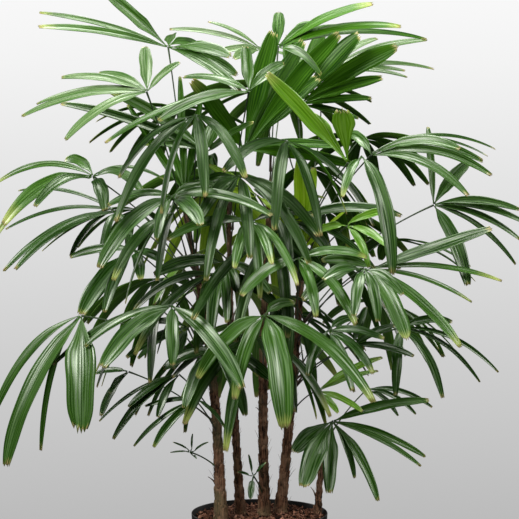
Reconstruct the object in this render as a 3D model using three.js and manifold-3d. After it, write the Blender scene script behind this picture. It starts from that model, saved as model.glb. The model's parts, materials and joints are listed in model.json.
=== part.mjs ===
// A potted lady palm: a clump of thin fibrous canes in a round nursery pot, with fan leaves
// on long thin stalks. Millimetres, +Z up. The origin is the middle of the pot's flat underside,
// the front of the plant looks along -Y.
import * as THREE from 'three';
import Module from 'manifold-3d';
import { mergeVertices } from 'three/addons/utils/BufferGeometryUtils.js';

const wasm = await Module();
wasm.setup();

// Pot and potting mix
const POT_HEIGHT = 240;
const POT_RIM_RADIUS = 137.5;
const POT_TOP_RADIUS = 129;
const POT_FOOT_RADIUS = 100;
const POT_WALL = 3;
const POT_FLOOR = 5;
const POT_RIM_DEPTH = 22;
const POT_RIM_SLOPE = 2;
const POT_STEP = 20;
const MIX_TOP = 230;
const ROUND_SIDES = 32;

// Colours
const POT_BLACK = 0x141414;
const BARK_BROWN = 0x4a2a1c;
const FIBRE_BROWN = 0x5a4030;
const LEAF_GREEN = 0x2f6a2c;

// Fits
const CLEARANCE = 0.3;
const SIMPLIFY = 0.05;

// Canes
const CANE_FOOT = MIX_TOP + CLEARANCE;
const CANE_SIDES = 8;
const CANE_STATIONS = 13;
const STATION_POWER = 1.4;
const CANE_FLARE = 1.45;
const CANE_FLARE_HEIGHT = 35;

// Leaf stalks and blades
const STALK_RADIUS = 2.2;
const FORK_AT = 30;
const FORK_STEP = 5;
const FORK_OFF_CANE = 7;
const FORK_CLEAR = 24;
const STALK_STEPS = 5;
const STALK_BEND_AT = 0.45;
const STALK_ARCH = 0.12;
const STALK_SWINGS = [0, 0.05, -0.05, 0.1, -0.1, 0.16, -0.16, 0.22, -0.22];
const FOOT_SHIFTS = [0, -22, 22, -44, 44];
const HUB_RADIUS = 9;
const HUB_RISE = 2;
const ROOT_HALF = 1.5;
const ROOT_SHARE = 0.42;
const ROOT_STEP = 16;
const ROOT_RANGE = 280;
const ROOT_EVENING = 0.5;
const GAP_LEAST = 14;
const GAP_MOST = 60;
const BLADE_STEPS = 24;
const BLADE_SEGMENTS = [0, 7, 15, 24];
const BLADE_KEEL = 2.8;
const BLADE_FOLD = 0.16;
const BLADE_BULGE = 0.14;
const SIDE_STEADY = 0.2;
const TWIST_BY = 0.35;
const WIDTH_SWELL = 0.13;
const TIP_TAPER = 0.5;
const TAPER_POWER = 6;
const ROLL_JITTER = 22;
const TURN_JITTER = 7;
const LENGTH_JITTER = 0.14;
const SAG_JITTER = 0.35;
const SAG_SHORTENS = 0.3;

// How a leaflet finds a free place among the others
const TRIES = 14;
const LEAVES_APART = 31;
const TRIES_APART = 17;
const WIDER_EACH_TRY = 0.22;
const TIP_STEP = 3;
const TIP_STEP_DEEP = 12;
const SHORTER_FROM_TRY = 8;
const SHORTER = 0.72;
const CELL = 8;
const BEAD_SPACING = 6;
const CANE_SPARE = 1;
const FIRST_BEAD_STEP = 2;
const STALK_BEAD = 3.2;
const BLADE_BEAD = 3.4;
const BEADS_ACROSS = [-0.8, -0.4, 0, 0.4, 0.8];
const SIBLING_FROM_STEP = 5;
const SIBLING_GAP = 4;

// Each cane: name, foot on the mix (x, y), radius there, radius at the tip, tip (x, y, z),
// and how far it bows sideways (x, y) at mid height.
const CANES = [
  ['cane_left', [-76, -34], 10.5, 4, [-150, -10, 850], [16, 6]],
  ['cane_middle_left', [-38, 26], 8, 3.5, [-62, 30, 880], [-6, 8]],
  ['cane_middle', [10, 18], 10, 4, [22, 25, 910], [-8, -4]],
  ['cane_right', [42, 44], 10, 4, [92, 10, 890], [6, 4]],
  ['cane_small', [118, 30], 5.4, 3.2, [139, 2, 408], [-4, 4]],
];

// A fan whose leaflets are dealt evenly: first and last leaflet's turn in the fan's plane (degrees),
// how many there are, their length, and how far their tips sag as a share of it.
const spray = (first, last, count, length, sag) => ({ first, last, count, length, sag });

// Each frond: cane, height of its foot on the cane, hub (x, y, z), the way its upper face looks
// (compass turn and tilt up from level, degrees), leaflet width, arch of the leaflets as a share of
// their length, where each leaflet's tip is seen from the hub (x, y, z, and a width and an arch of its
// own if it has them), and for a frond that forks off the stalk of an earlier one, that one's number.
const FRONDS = [
  [0, 790, [-182, 0, 1172], -90, 48, 25, 0.12, [
    [-130, -20, 112, 28, 0.02], [-262, 30, 72, 14, 0.08], [-256, -30, 36, 20, 0.08], [4, 90, 36],
    [60, 80, 14], [128, -60, -26, 30], [146, -100, -100], [140, -20, -60, 28]]],
  [0, 770, [-214, -150, 1071], -90, 34, 20, 0.15, [
    [-6, 40, 92, 26], [-166, 20, 28], [-100, 60, 40], [-236, -10, -48], [-214, 30, -22, 14],
    [-148, -60, -96, 24], [64, 20, 58, 16]]],
  [0, 740, [-107, -60, 961], -90, 35, 26, 0.1, [
    [-190, -30, 120], [-281, -20, 93, 22], [-132, 40, 16, 16], [-94, -70, -30, 30], [30, 50, 74, 32],
    [98, -40, 56, 22]]],
  [1, 820, [-20, -120, 1074], -90, 34, 24, 0.14, [
    [-8, 30, 92, 26], [-268, -90, -104, 20], [-168, -110, -64, 22], [-130, 40, 30], [70, 60, 60]]],
  [1, 760, [-29, -20, 966], -90, 20, 36, 0.08, [
    [-142, -90, 168, 34], [58, 0, 238, 42], [120, 60, 226, 36], [196, 30, 228, 38],
    [150, 50, 150], [316, -50, -50, 28],
    [190, 30, 14, 22]]],
  [2, 850, [38, 60, 1180], -90, 38, 26, 0.14, [
    [2, 40, 76, 26], [72, 10, 54, 30], [194, -10, 84, 28], [252, -20, 36, 30], [310, 30, 18, 18],
    [190, 60, 44], [118, -130, -96, 18]]],
  [3, 830, [78, 80, 1060], -90, 30, 34, 0.08, [
    [-20, 20, 150], [112, 0, 158, 46], [58, 60, 172, 34], [206, -20, 120, 40], [176, 0, 58, 26],
    [194, 40, 2, 18], [130, 60, -22, 16]]],
  [3, 840, [125, 160, 1130], -90, 50, 20, 0.14, [
    [250, 60, 18, 16], [186, 0, 8, 16], [182, -40, -8, 16], [128, 60, 84], [230, 20, 76, 22],
    [-100, 90, 60], [60, 200, 20], [-60, 190, 0]]],
  [3, 780, [169, -130, 937], -90, 12, 30, 0.04, [
    [-158, -30, 170], [-14, -40, 104, 48], [-70, 30, 96]]],
  [3, 760, [217, -90, 954], -90, 38, 22, 0.25, [
    [166, -60, 8], [266, 20, 4, 12], [246, 60, 0, 12], [178, -80, -82, 20], [218, 0, -14, 20],
    [228, -40, -42, 20], [-44, 60, 44]]],
  [3, 665, [345, -30, 857], -90, 25, 18, 0.16, [
    [-8, 40, 158, 16], [74, 20, 86, 26], [168, -20, -10], [182, 0, -36, 16], [176, 20, -70, 14],
    [170, 40, -120, 12], [60, -60, -160, 30, 0.06]]],
  [3, 600, [221, -100, 737], -90, 32, 20, 0.12, [
    [224, -40, 76, 28, 0], [250, 0, -28, 14], [194, 20, -70, 12], [54, -110, -134, 38, 0.02],
    [162, -60, -152, 26, 0.06],
    [-106, -60, 14, 22]]],
  [3, 500, [281, -20, 613], -90, 36, 18, 0.22, [
    [102, -20, 12], [196, 0, -90, 10], [162, 20, -112, 10], [-14, -50, -132, 22], [80, -40, -138]]],
  [3, 480, [184, -80, 584], -90, 30, 17, 0.12, [
    [26, 20, 74], [80, -20, 40], [120, 10, -24], [-50, -30, 30]]],
  [3, 430, [113, -60, 492], -90, 30, 16, 0.1, [
    [130, 0, 66], [124, 30, 36, 12], [40, -40, -40], [90, -20, -40]]],
  [4, 380, [219, 40, 483], -90, 34, 11, 0.2, [
    [100, 0, -52], [134, 20, -44], [14, -30, -30], [60, -40, -50]]],
  [4, 395, [145, -40, 429], -90, 32, 20, 0.1, [
    [190, -20, 44], [184, -10, -70, 16], [172, -40, -84, 12], [86, -60, -150, 20], [42, -30, -110, 14],
    [-10, -70, -134, 30], [-62, -110, -116, 42], [-80, -30, -60, 34]]],
  [2, 700, [-15, -160, 826], -90, 36, 20, 0.2, [
    [-32, -90, -88, 22], [-160, -40, -36], [38, -100, -80], [86, -80, -120, 18], [120, 20, 10],
    [16, -60, -146]]],
  [2, 720, [29, -60, 850], -90, 36, 20, 0.2, [
    [-60, -80, -60], [30, -90, -110, 26], [80, -60, -30], [-40, 40, 40], [100, 10, 10]]],
  [3, 700, [66, -90, 827], -90, 36, 20, 0.2, [
    [212, 0, 8, 24], [144, -40, -96, 12], [-50, -60, -40], [80, -80, -80]]],
  [3, 600, [74, -190, 757], -90, 36, 24, 0.2, [
    [-110, -60, -70], [30, -60, -110], [104, -60, -124, 26], [130, 0, 0]]],
  [3, 700, [168, -120, 816], -90, 34, 16, 0.16, [
    [92, 0, 30], [40, -40, -80], [-60, 20, -10], [76, -50, -40]]],
  [3, 600, [194, -210, 739], -90, 36, 22, 0.2, [
    [-22, -60, -88], [24, -40, -100], [-116, 20, -64, 30], [-80, -60, -20], [70, -40, -50]]],
  [0, 720, [-324, -80, 913], -90, 36, 22, 0.3, [
    [-164, -70, -96, 30], [-196, 40, -14, 14], [-186, -30, -120, 18], [-64, 60, 32], [104, -90, -34, 28],
    [140, 20, -8, 12], [-102, -60, -56], [30, -60, -70, 28]]],
  [0, 690, [-293, 40, 847], -90, 36, 20, 0.18, [
    [-222, -30, -124], [-194, -60, -120, 24], [-226, 20, -40, 12], [-206, 60, 40, 10], [-92, 10, -96],
    [40, -60, -80], [-20, -70, -110]]],
  [0, 700, [-165, -180, 873], -90, 36, 22, 0.2, [
    [-130, -80, -136, 32], [60, -90, -56, 32], [-120, 20, -10], [-26, -40, -84], [190, -40, -38],
    [90, 50, 20]]],
  [0, 620, [-246, -60, 769], -90, 36, 24, 0.16, [
    [-100, -60, -128, 36, 0.08], [-50, -30, -118], [-130, 20, -16, 18], [18, -60, -58], [60, -40, -24]]],
  [0, 540, [-340, -140, 645], -90, 40, 24, 0.2, [
    [8, -80, -216, 62, 0.12], [-138, -50, -284, 38, 0.08], [-170, 10, -190, 24], [-88, 60, -270, 16]]],
  [0, 540, [-166, -190, 669], -90, 36, 26, 0.16, [
    [-124, -80, -114, 36], [-160, 10, -80, 16], [136, -90, -150, 32], [-230, 40, -120, 14],
    [6, -50, -112]]],
  [2, 520, [9, -200, 651], -90, 38, 28, 0.2, [
    [36, -90, -206, 50], [-126, -60, -114], [202, -60, -160, 32], [-56, -70, -150], [60, 40, 20]]],
  [0, 420, [-261, -20, 525], -90, 36, 14, 0.14, [
    [-54, -60, -88, 26], [-70, 20, -6], [-34, -40, -40]]],
  [0, 430, [-157, -80, 526], -90, 34, 17, 0.14, [
    [-126, -40, -122], [-154, 20, -90, 8], [-100, 0, -56], [-40, -40, -80]]],
  [0, 400, [-126, -110, 481], -90, 34, 14, 0.1, [
    [-78, -30, -90, 16], [-118, 0, -92, 10], [-98, 20, -16, 10], [60, 20, -60, 10]]],
  [0, 470, [-142, -60, 617], -90, 34, 18, 0.14, [
    [-114, 0, -52], [-100, 30, -66], [-24, -50, -80, 24], [60, -40, -90], [-70, 10, 10]]],
  [1, 600, [-68, -110, 747], -90, 36, 24, 0.2, [
    [-26, -90, -160], [8, -80, -116, 20], [34, -60, -62], [-136, -30, -26, 28], [90, -50, -60]]],
  [3, 480, [133, -130, 617], -90, 34, 22, 0.16, [
    [108, 0, -18], [60, 50, 20], [40, -80, -110], [-42, -40, -86], [80, -50, -80]]],
  [1, 460, [-86, -150, 581], -90, 36, 26, 0.16, [
    [-54, -70, -106], [60, -60, -120], [110, 0, -60], [-100, 10, -40]]],
  [3, 700, [83, -60, 767], -90, 8, 26, 0, [
    [-8, 10, 186], [40, 24, 158], [110, 0, 150, 22]]],
  [3, 700, [-4, -100, 875], -90, 30, 16, 0.06, [
    [-80, 0, 60], [-90, 10, 16], [60, -40, -60]], 38],
  [0, 700, [-146, -44, 880], -90, 4, 16, 0, [
    [-114, 0, 176], [-40, 20, 140], [-12, 30, 234], [32, 10, 196]], 26],
  [3, 720, [194, -150, 949], -90, 38, 28, 0.2, [
    [53, -70, -225, 32], [-40, -50, -80, 18]]],
  [2, 850, [4, 20, 1172], -90, 40, 16, 0.12, [
    [-108, 0, 52], [-188, 40, 42, 12], [-92, -20, -14], [-56, -70, -30, 22]], 6],
  [0, 330, [-136, -70, 372], -90, 35, 8, 0.1, [
    [-34, 0, 20], [36, 0, 20], [14, -30, -8], [-40, 10, -2], [4, 20, 34]]],
  [2, 265, [-12, -30, 318], -90, 30, 10, 0.1, [
    [-6, -20, -44, 14], [-10, 10, 42], [26, 0, 28], [-32, 0, 8]]],
  [0, 780, [-175, 200, 1065], 115, 68, 25, 0.16, spray(-180, 0, 8, 190, 0.2)],
  [2, 840, [50, 210, 1110], 90, 66, 25, 0.16, spray(-190, 10, 8, 215, 0.25)],
  [3, 790, [215, 190, 1000], 60, 68, 25, 0.16, spray(-180, 0, 8, 190, 0.2)],
  [0, 650, [-265, 225, 850], 125, 70, 25, 0.18, spray(-175, -5, 7, 195, 0.22)],
  [1, 720, [-90, 250, 930], 105, 60, 26, 0.2, spray(-175, -5, 8, 210, 0.35)],
  [3, 640, [140, 260, 850], 75, 60, 26, 0.2, spray(-175, -5, 8, 205, 0.35)],
  [3, 600, [275, 230, 785], 55, 70, 25, 0.18, spray(-175, -5, 7, 185, 0.22)],
  [0, 520, [-220, 230, 700], 125, 62, 26, 0.2, spray(-170, -10, 7, 210, 0.35)],
  [2, 460, [0, 250, 600], 95, 60, 26, 0.2, spray(-170, -10, 7, 210, 0.4)],
  [3, 480, [250, 210, 650], 45, 62, 25, 0.2, spray(-170, -10, 7, 200, 0.35)],
];

// Fronds inside the crown, dealt round the canes: how many, the lowest and highest hub,
// how far the hubs stand from the middle of the clump, tilt of the upper face and leaflets.
const INNER_COUNT = 21;
const INNER_LOW = 560;
const INNER_HIGH = 1030;
const INNER_NEAR = 70;
const INNER_FAR = 190;
const INNER_BELOW_HUB = 120;
const INNER_TURN = 137.5;
const INNER_STRIDE = 5;
const INNER_TILT = 55;
const INNER_WIDTH = 25;
const INNER_ARCH = 0.2;
const INNER_SPRAY = spray(-172, -8, 6, 195, 0.45);
const CLUMP = [-20, 20];

const UP = new THREE.Vector3(0, 0, 1);
const radians = THREE.MathUtils.degToRad;
const vector = (point) => new THREE.Vector3(...point);

// A repeatable stream of numbers from 0 to 1.
function seeded(seed) {
  let state = (seed * 7919 + 104729) % 2147483647;
  return () => {
    state = (state * 16807) % 2147483647;
    return state / 2147483647;
  };
}

// A closed skin over rings of points, each ring turning counter-clockwise along the way.
function loft(rings) {
  const around = rings[0].length;
  const last = (rings.length - 1) * around;
  const index = [];
  for (let ring = 0; ring + 1 < rings.length; ring++) {
    for (let k = 0; k < around; k++) {
      const a = ring * around + k;
      const b = ring * around + ((k + 1) % around);
      index.push(a, b, b + around, a, b + around, a + around);
    }
  }
  for (let k = 1; k + 1 < around; k++) {
    index.push(0, k + 1, k);
    index.push(last, last + k, last + k + 1);
  }
  const geometry = new THREE.BufferGeometry();
  const places = rings.flat().flatMap((point) => point.toArray());
  geometry.setAttribute('position', new THREE.Float32BufferAttribute(places, 3));
  geometry.setIndex(index);
  return geometry;
}

function toSolid(geometry) {
  const bare = geometry.clone();
  bare.deleteAttribute('normal');
  bare.deleteAttribute('uv');
  const merged = mergeVertices(bare, 1e-4);
  const vertProperties = new Float32Array(merged.attributes.position.array);
  const triVerts = new Uint32Array(merged.index.array);
  return new wasm.Manifold(new wasm.Mesh({ numProp: 3, vertProperties, triVerts }));
}

function toGeometry(solid) {
  const mesh = solid.getMesh();
  const geometry = new THREE.BufferGeometry();
  geometry.setAttribute('position', new THREE.BufferAttribute(mesh.vertProperties, 3));
  geometry.setIndex(new THREE.BufferAttribute(mesh.triVerts, 1));
  return geometry;
}

function plastic(colour, roughness) {
  return new THREE.MeshStandardMaterial({ color: colour, roughness, metalness: 0 });
}

// ---- Canes ----

// The cane's middle line at share t of its length, and its radius there.
function caneAt(cane, t) {
  const [, foot, footRadius, tipRadius, tip, bow] = cane;
  const swing = Math.sin(Math.PI * t);
  const place = new THREE.Vector3(
    THREE.MathUtils.lerp(foot[0], tip[0], t) + bow[0] * swing,
    THREE.MathUtils.lerp(foot[1], tip[1], t) + bow[1] * swing,
    THREE.MathUtils.lerp(CANE_FOOT, tip[2], t),
  );
  const above = (tip[2] - CANE_FOOT) * t;
  const flare = 1 + (CANE_FLARE - 1) * Math.exp(-above / CANE_FLARE_HEIGHT);
  return { place, radius: THREE.MathUtils.lerp(footRadius, tipRadius, t) * flare };
}

function caneAtHeight(cane, height) {
  return caneAt(cane, (height - CANE_FOOT) / (cane[4][2] - CANE_FOOT));
}

function caneGeometry(cane, extra) {
  const rings = [];
  for (let station = 0; station < CANE_STATIONS; station++) {
    const t = (station / (CANE_STATIONS - 1)) ** STATION_POWER;
    const { place, radius } = caneAt(cane, t);
    const ring = [];
    for (let side = 0; side < CANE_SIDES; side++) {
      const turn = (2 * Math.PI * side) / CANE_SIDES;
      const reach = (radius + extra) / Math.cos(Math.PI / CANE_SIDES);
      ring.push(new THREE.Vector3(Math.cos(turn), Math.sin(turn), 0).multiplyScalar(reach).add(place));
    }
    rings.push(ring);
  }
  rings.at(-1).forEach((point) => point.addScaledVector(UP, extra));
  return loft(rings);
}

// ---- Fronds ----

// The way that lies at a turn in the plane of a fan.
const wayAt = ({ level, rise }, turn) =>
  level.clone().multiplyScalar(Math.cos(turn)).addScaledVector(rise, Math.sin(turn));

// Where a leaflet's arch bends, seen from its hub: above the straight way, and outwards where it hangs.
function bendOf(offset, arch) {
  const outwards = new THREE.Vector3(offset.x, offset.y, 0).normalize();
  const bend = offset.clone().multiplyScalar(0.5).addScaledVector(UP, arch * offset.length());
  return bend.addScaledVector(outwards, BLADE_BULGE * Math.max(0, -offset.z));
}

// Tips of a fan whose leaflets are dealt evenly, each a little off its place.
function sprayTips(frond, { first, last, count, length, sag }) {
  const random = seeded(frond.number * LEAVES_APART);
  const spread = () => 2 * random() - 1;
  return Array.from({ length: count }, (_, leaf) => {
    const turn = radians(THREE.MathUtils.lerp(first, last, leaf / (count - 1)) + TURN_JITTER * spread());
    const long = length * (1 + LENGTH_JITTER * spread());
    const drop = sag * (1 + SAG_JITTER * spread());
    const tip = wayAt(frond, turn).multiplyScalar(long * (1 - SAG_SHORTENS * drop));
    return tip.addScaledVector(UP, -long * drop).toArray();
  });
}

// Leaflets in order round the hub: each leaves it towards its bend, and crowded ones are spread there.
function leafletsOf(frond, tips) {
  const leaflets = tips.map(([x, y, z, width = frond.width, arch = frond.arch]) => {
    const offset = new THREE.Vector3(x, y, z);
    const bend = bendOf(offset, arch);
    return { offset, width, arch, turn: Math.atan2(bend.dot(frond.rise), bend.dot(frond.level)) };
  });
  const total = (shadow) => leaflets.reduce((sum, { turn }) => sum + shadow(turn), 0);
  const middle = Math.atan2(total(Math.sin), total(Math.cos));
  const wrapped = (turn) => turn - 2 * Math.PI * Math.round(turn / (2 * Math.PI));
  leaflets.forEach((leaflet) => { leaflet.turn = wrapped(leaflet.turn - middle); });
  leaflets.sort((a, b) => a.turn - b.turn);
  const [first, last] = [leaflets[0].turn, leaflets.at(-1).turn];
  const steps = leaflets.length - 1;
  const range = Math.max(last - first, radians(ROOT_STEP) * steps);
  const squeeze = Math.min(1, radians(ROOT_RANGE) / range);
  leaflets.forEach((leaflet, i) => {
    const even = steps ? (first + last) / 2 + range * (i / steps - 0.5) : leaflet.turn;
    leaflet.turn = middle + squeeze * THREE.MathUtils.lerp(leaflet.turn, even, ROOT_EVENING);
  });
  leaflets.forEach((leaflet, i) => {
    const beside = [leaflets[i - 1], leaflets[i + 1]].filter(Boolean);
    leaflet.gap = Math.min(radians(GAP_MOST), ...beside.map(({ turn }) => Math.abs(turn - leaflet.turn)));
  });
  return leaflets;
}

function frondOf(row, number) {
  const [cane, foot, hub, facing, tilt, width, arch, leaves, mate] = row;
  const az = radians(facing);
  const up = radians(tilt);
  const normal = new THREE.Vector3(Math.cos(up) * Math.cos(az), Math.cos(up) * Math.sin(az), Math.sin(up));
  const level = new THREE.Vector3(-Math.sin(az), Math.cos(az), 0);
  const rise = new THREE.Vector3().crossVectors(normal, level);
  const frond = { number, cane, foot, hub: vector(hub), normal, level, rise, width, arch, mate };
  frond.leaflets = leafletsOf(frond, Array.isArray(leaves) ? leaves : sprayTips(frond, leaves));
  return frond;
}

// The fronds inside the crown: each stands by the cane nearest to its hub.
function innerRows() {
  const rows = [];
  for (let number = 0; number < INNER_COUNT; number++) {
    const share = number / (INNER_COUNT - 1);
    const turn = radians(INNER_TURN * number);
    const out = ((number * INNER_STRIDE) % INNER_COUNT) / INNER_COUNT;
    const reach = THREE.MathUtils.lerp(INNER_NEAR, INNER_FAR, out);
    const height = THREE.MathUtils.lerp(INNER_LOW, INNER_HIGH, share);
    const hub = [CLUMP[0] + reach * Math.cos(turn), CLUMP[1] + reach * Math.sin(turn), height];
    const foot = height - INNER_BELOW_HUB;
    const tall = [0, 1, 2, 3];
    const middleOf = (cane) => caneAtHeight(CANES[cane], Math.min(foot, CANES[cane][4][2])).place;
    const away = (cane) => middleOf(cane).distanceTo(vector(hub));
    const cane = tall.reduce((best, other) => (away(other) < away(best) ? other : best));
    const facing = THREE.MathUtils.radToDeg(turn);
    rows.push([cane, foot, hub, facing, INNER_TILT, INNER_WIDTH, INNER_ARCH, INNER_SPRAY]);
  }
  return rows;
}

// The stalk leaves its cane steeply and arches over to the hub, swung aside where another is in its way.
function stalkCurve(frond, shift, swing) {
  const start = frond.fork ?? caneAtHeight(CANES[frond.cane], frond.foot + shift).place;
  const reach = frond.hub.distanceTo(start);
  const aside = new THREE.Vector3().crossVectors(UP, frond.hub.clone().sub(start)).normalize();
  const bend = start.clone().lerp(frond.hub, STALK_BEND_AT).addScaledVector(UP, reach * STALK_ARCH);
  bend.addScaledVector(aside, reach * swing);
  return new THREE.QuadraticBezierCurve3(start, bend, frond.hub);
}

function stalkGeometry(curve) {
  const section = new THREE.Shape();
  for (let corner = 0; corner < 3; corner++) {
    const turn = (2 * Math.PI * corner) / 3;
    const x = STALK_RADIUS * Math.cos(turn);
    const y = STALK_RADIUS * Math.sin(turn);
    if (corner === 0) section.moveTo(x, y);
    else section.lineTo(x, y);
  }
  return new THREE.ExtrudeGeometry(section, { steps: STALK_STEPS, extrudePath: curve });
}

// Beads mark the places that are taken, so that no leaflet grows through a cane, a stalk or another leaf.
function beadRoom() {
  const cells = new Map();
  const key = (x, y, z) => `${Math.floor(x / CELL)},${Math.floor(y / CELL)},${Math.floor(z / CELL)}`;
  return {
    add(beads, owner) {
      for (const bead of beads) {
        const name = key(bead.x, bead.y, bead.z);
        if (!cells.has(name)) cells.set(name, []);
        cells.get(name).push({ ...bead, owner });
      }
    },
    free(beads, owner, cane) {
      for (const bead of beads) {
        for (let x = -2; x <= 2; x++) for (let y = -2; y <= 2; y++) for (let z = -2; z <= 2; z++) {
          const found = cells.get(key(bead.x + x * CELL, bead.y + y * CELL, bead.z + z * CELL)) ?? [];
          for (const other of found) {
            if (other.owner === `cane ${cane}`) continue;
            const sibling = other.owner === owner;
            if (sibling && !(bead.step >= SIBLING_FROM_STEP && other.step >= SIBLING_FROM_STEP)) continue;
            const gap = Math.hypot(bead.x - other.x, bead.y - other.y, bead.z - other.z);
            if (gap < (sibling ? SIBLING_GAP : bead.r + other.r)) return false;
          }
        }
      }
      return true;
    },
  };
}

const beadAt = (point, r, step) => ({ x: point.x, y: point.y, z: point.z, r, step });

function stalkBeads(curve, cane, fork) {
  const count = Math.ceil(curve.getLength() / BEAD_SPACING);
  const outside = (point) => {
    if (fork && point.distanceTo(fork) < FORK_CLEAR) return false;
    const { place, radius } = caneAtHeight(cane, Math.min(point.z, cane[4][2]));
    return point.distanceTo(place) > radius + STALK_RADIUS;
  };
  return curve.getSpacedPoints(count).filter(outside).map((point) => beadAt(point, STALK_BEAD));
}

function bladeBeads(stations) {
  const beads = [];
  stations.forEach(({ middle, side, half }, step) => {
    if (step < FIRST_BEAD_STEP) return;
    for (const share of BEADS_ACROSS) {
      beads.push(beadAt(middle.clone().addScaledVector(side, half * share), BLADE_BEAD, step));
    }
  });
  return beads;
}

function caneBeads(cane) {
  const beads = [];
  for (let height = CANE_FOOT; height <= cane[4][2]; height += BEAD_SPACING) {
    const { place, radius } = caneAtHeight(cane, height);
    beads.push(beadAt(place, radius + CANE_SPARE));
  }
  return beads;
}

// The share of its full width that a leaflet has at share t of its length.
function widthShare(t) {
  return (1 - Math.exp(-t / WIDTH_SWELL)) * (1 - TIP_TAPER * t ** TAPER_POWER);
}

// Where a leaflet runs: BLADE_STEPS + 1 stations, each with its middle, side, normal and half width.
function leafletPath(frond, leaf, attempt) {
  const random = seeded((frond.number * LEAVES_APART + leaf) * TRIES_APART + attempt);
  const spread = () => 2 * random() - 1;
  const { offset, width, arch, turn, gap } = frond.leaflets[leaf];
  const roll = radians(ROLL_JITTER * spread() * (1 + WIDER_EACH_TRY * attempt));
  const moved = new THREE.Vector3(TIP_STEP * spread(), TIP_STEP_DEEP * spread(), TIP_STEP * spread());
  const cut = attempt < SHORTER_FROM_TRY ? 1 : SHORTER;
  const reach = offset.clone().addScaledVector(moved, attempt).multiplyScalar(cut);
  const start = wayAt(frond, turn);
  const square = new THREE.Vector3().crossVectors(frond.normal, start);
  const root = frond.hub.clone().addScaledVector(start, HUB_RADIUS);
  const bend = bendOf(reach, arch).add(frond.hub);
  const line = new THREE.QuadraticBezierCurve3(root, bend, reach.add(frond.hub));
  const stations = [];
  for (let station = 0; station <= BLADE_STEPS; station++) {
    const t = station / BLADE_STEPS;
    const middle = line.getPoint(t);
    const along = line.getTangent(t);
    const twist = roll * Math.min(1, t / TWIST_BY);
    const side = new THREE.Vector3().crossVectors(frond.normal, along).addScaledVector(square, SIDE_STEADY);
    side.addScaledVector(along, -side.dot(along)).normalize().applyAxisAngle(along, twist);
    const normal = new THREE.Vector3().crossVectors(along, side);
    const rootHalf = Math.min(ROOT_HALF, ROOT_SHARE * HUB_RADIUS * gap);
    const room = ROOT_SHARE * middle.distanceTo(frond.hub) * Math.max(gap, radians(GAP_LEAST));
    const half = Math.max(rootHalf, Math.min(room, (width * widthShare(t)) / 2));
    stations.push({ middle, side, normal, half });
  }
  return stations;
}

// A blade's section at one station: left edge, right edge, keel.
function bladeRing({ middle, side, normal, half }) {
  const rise = half * BLADE_FOLD;
  return [
    middle.clone().addScaledVector(side, half).addScaledVector(normal, rise),
    middle.clone().addScaledVector(side, -half).addScaledVector(normal, rise),
    middle.clone().addScaledVector(normal, -BLADE_KEEL),
  ];
}

const bladeRings = (stations) => BLADE_SEGMENTS.map((station) => bladeRing(stations[station]));

// One closed skin over a fan: the leaflets spring from a small hub, whose back is closed by a stub.
function fanGeometry(frond) {
  const points = [];
  const index = [];
  const roots = [];
  const add = (point) => points.push(point) - 1;
  const skin = (rings) => {
    const numbers = rings.map((ring) => ring.map(add));
    for (let ring = 0; ring + 1 < numbers.length; ring++) {
      for (let k = 0; k < 3; k++) {
        const [a, b] = [numbers[ring][k], numbers[ring][(k + 1) % 3]];
        const [c, d] = [numbers[ring + 1][(k + 1) % 3], numbers[ring + 1][k]];
        index.push(a, b, c, a, c, d);
      }
    }
    index.push(...numbers.at(-1));
    roots.push(numbers[0]);
  };
  frond.blades.forEach((stations) => skin(bladeRings(stations)));
  const back = (frond.leaflets[0].turn + frond.leaflets.at(-1).turn) / 2 + Math.PI;
  const away = wayAt(frond, back);
  const side = new THREE.Vector3().crossVectors(frond.normal, away);
  const middle = frond.hub.clone().addScaledVector(away, HUB_RADIUS / 2);
  skin([bladeRing({ middle, side, normal: frond.normal, half: ROOT_HALF })]);
  const top = add(frond.hub.clone().addScaledVector(frond.normal, HUB_RISE));
  const bottom = add(frond.hub.clone().addScaledVector(frond.normal, -BLADE_KEEL - HUB_RISE));
  roots.forEach(([left, right, keel], i) => {
    const [, nextRight, nextKeel] = roots[(i + 1) % roots.length];
    index.push(top, right, left, top, left, nextRight);
    index.push(left, keel, nextKeel, left, nextKeel, nextRight);
    index.push(bottom, nextKeel, keel);
  });
  const geometry = new THREE.BufferGeometry();
  geometry.setAttribute('position', new THREE.Float32BufferAttribute(points.flatMap((p) => p.toArray()), 3));
  geometry.setIndex(index);
  return geometry;
}

// Solids that have their places, each tested only against those whose boxes come near.
function solidRoom() {
  const placed = [];
  const reaches = (a, b, k) => a.min[k] < b.max[k] + CLEARANCE;
  const near = (a, b) => [0, 1, 2].every((k) => reaches(a, b, k) && reaches(b, a, k));
  return {
    add(solid, owner) {
      placed.push({ solid, owner, box: solid.boundingBox() });
    },
    free(solid, owner, mate) {
      const box = solid.boundingBox();
      return placed.filter((other) => near(box, other.box)).every((other) => {
        if (other.owner === owner) return solid.intersect(other.solid).volume() <= 0;
        if (other.owner === `${owner} stalk` || other.owner === `${mate} stalk`) return true;
        return solid.minGap(other.solid, 2 * CLEARANCE) >= CLEARANCE;
      });
    },
  };
}

// Where a second stalk leaves a first one: just clear of the cane.
function forkPoint(mate) {
  const cane = CANES[mate.cane];
  const length = mate.stalk.getLength();
  for (let along = FORK_AT; ; along += FORK_STEP) {
    const point = mate.stalk.getPointAt(along / length);
    const { place, radius } = caneAtHeight(cane, Math.min(point.z, cane[4][2]));
    if (point.distanceTo(place) > radius + FORK_OFF_CANE) return point;
  }
}

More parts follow.
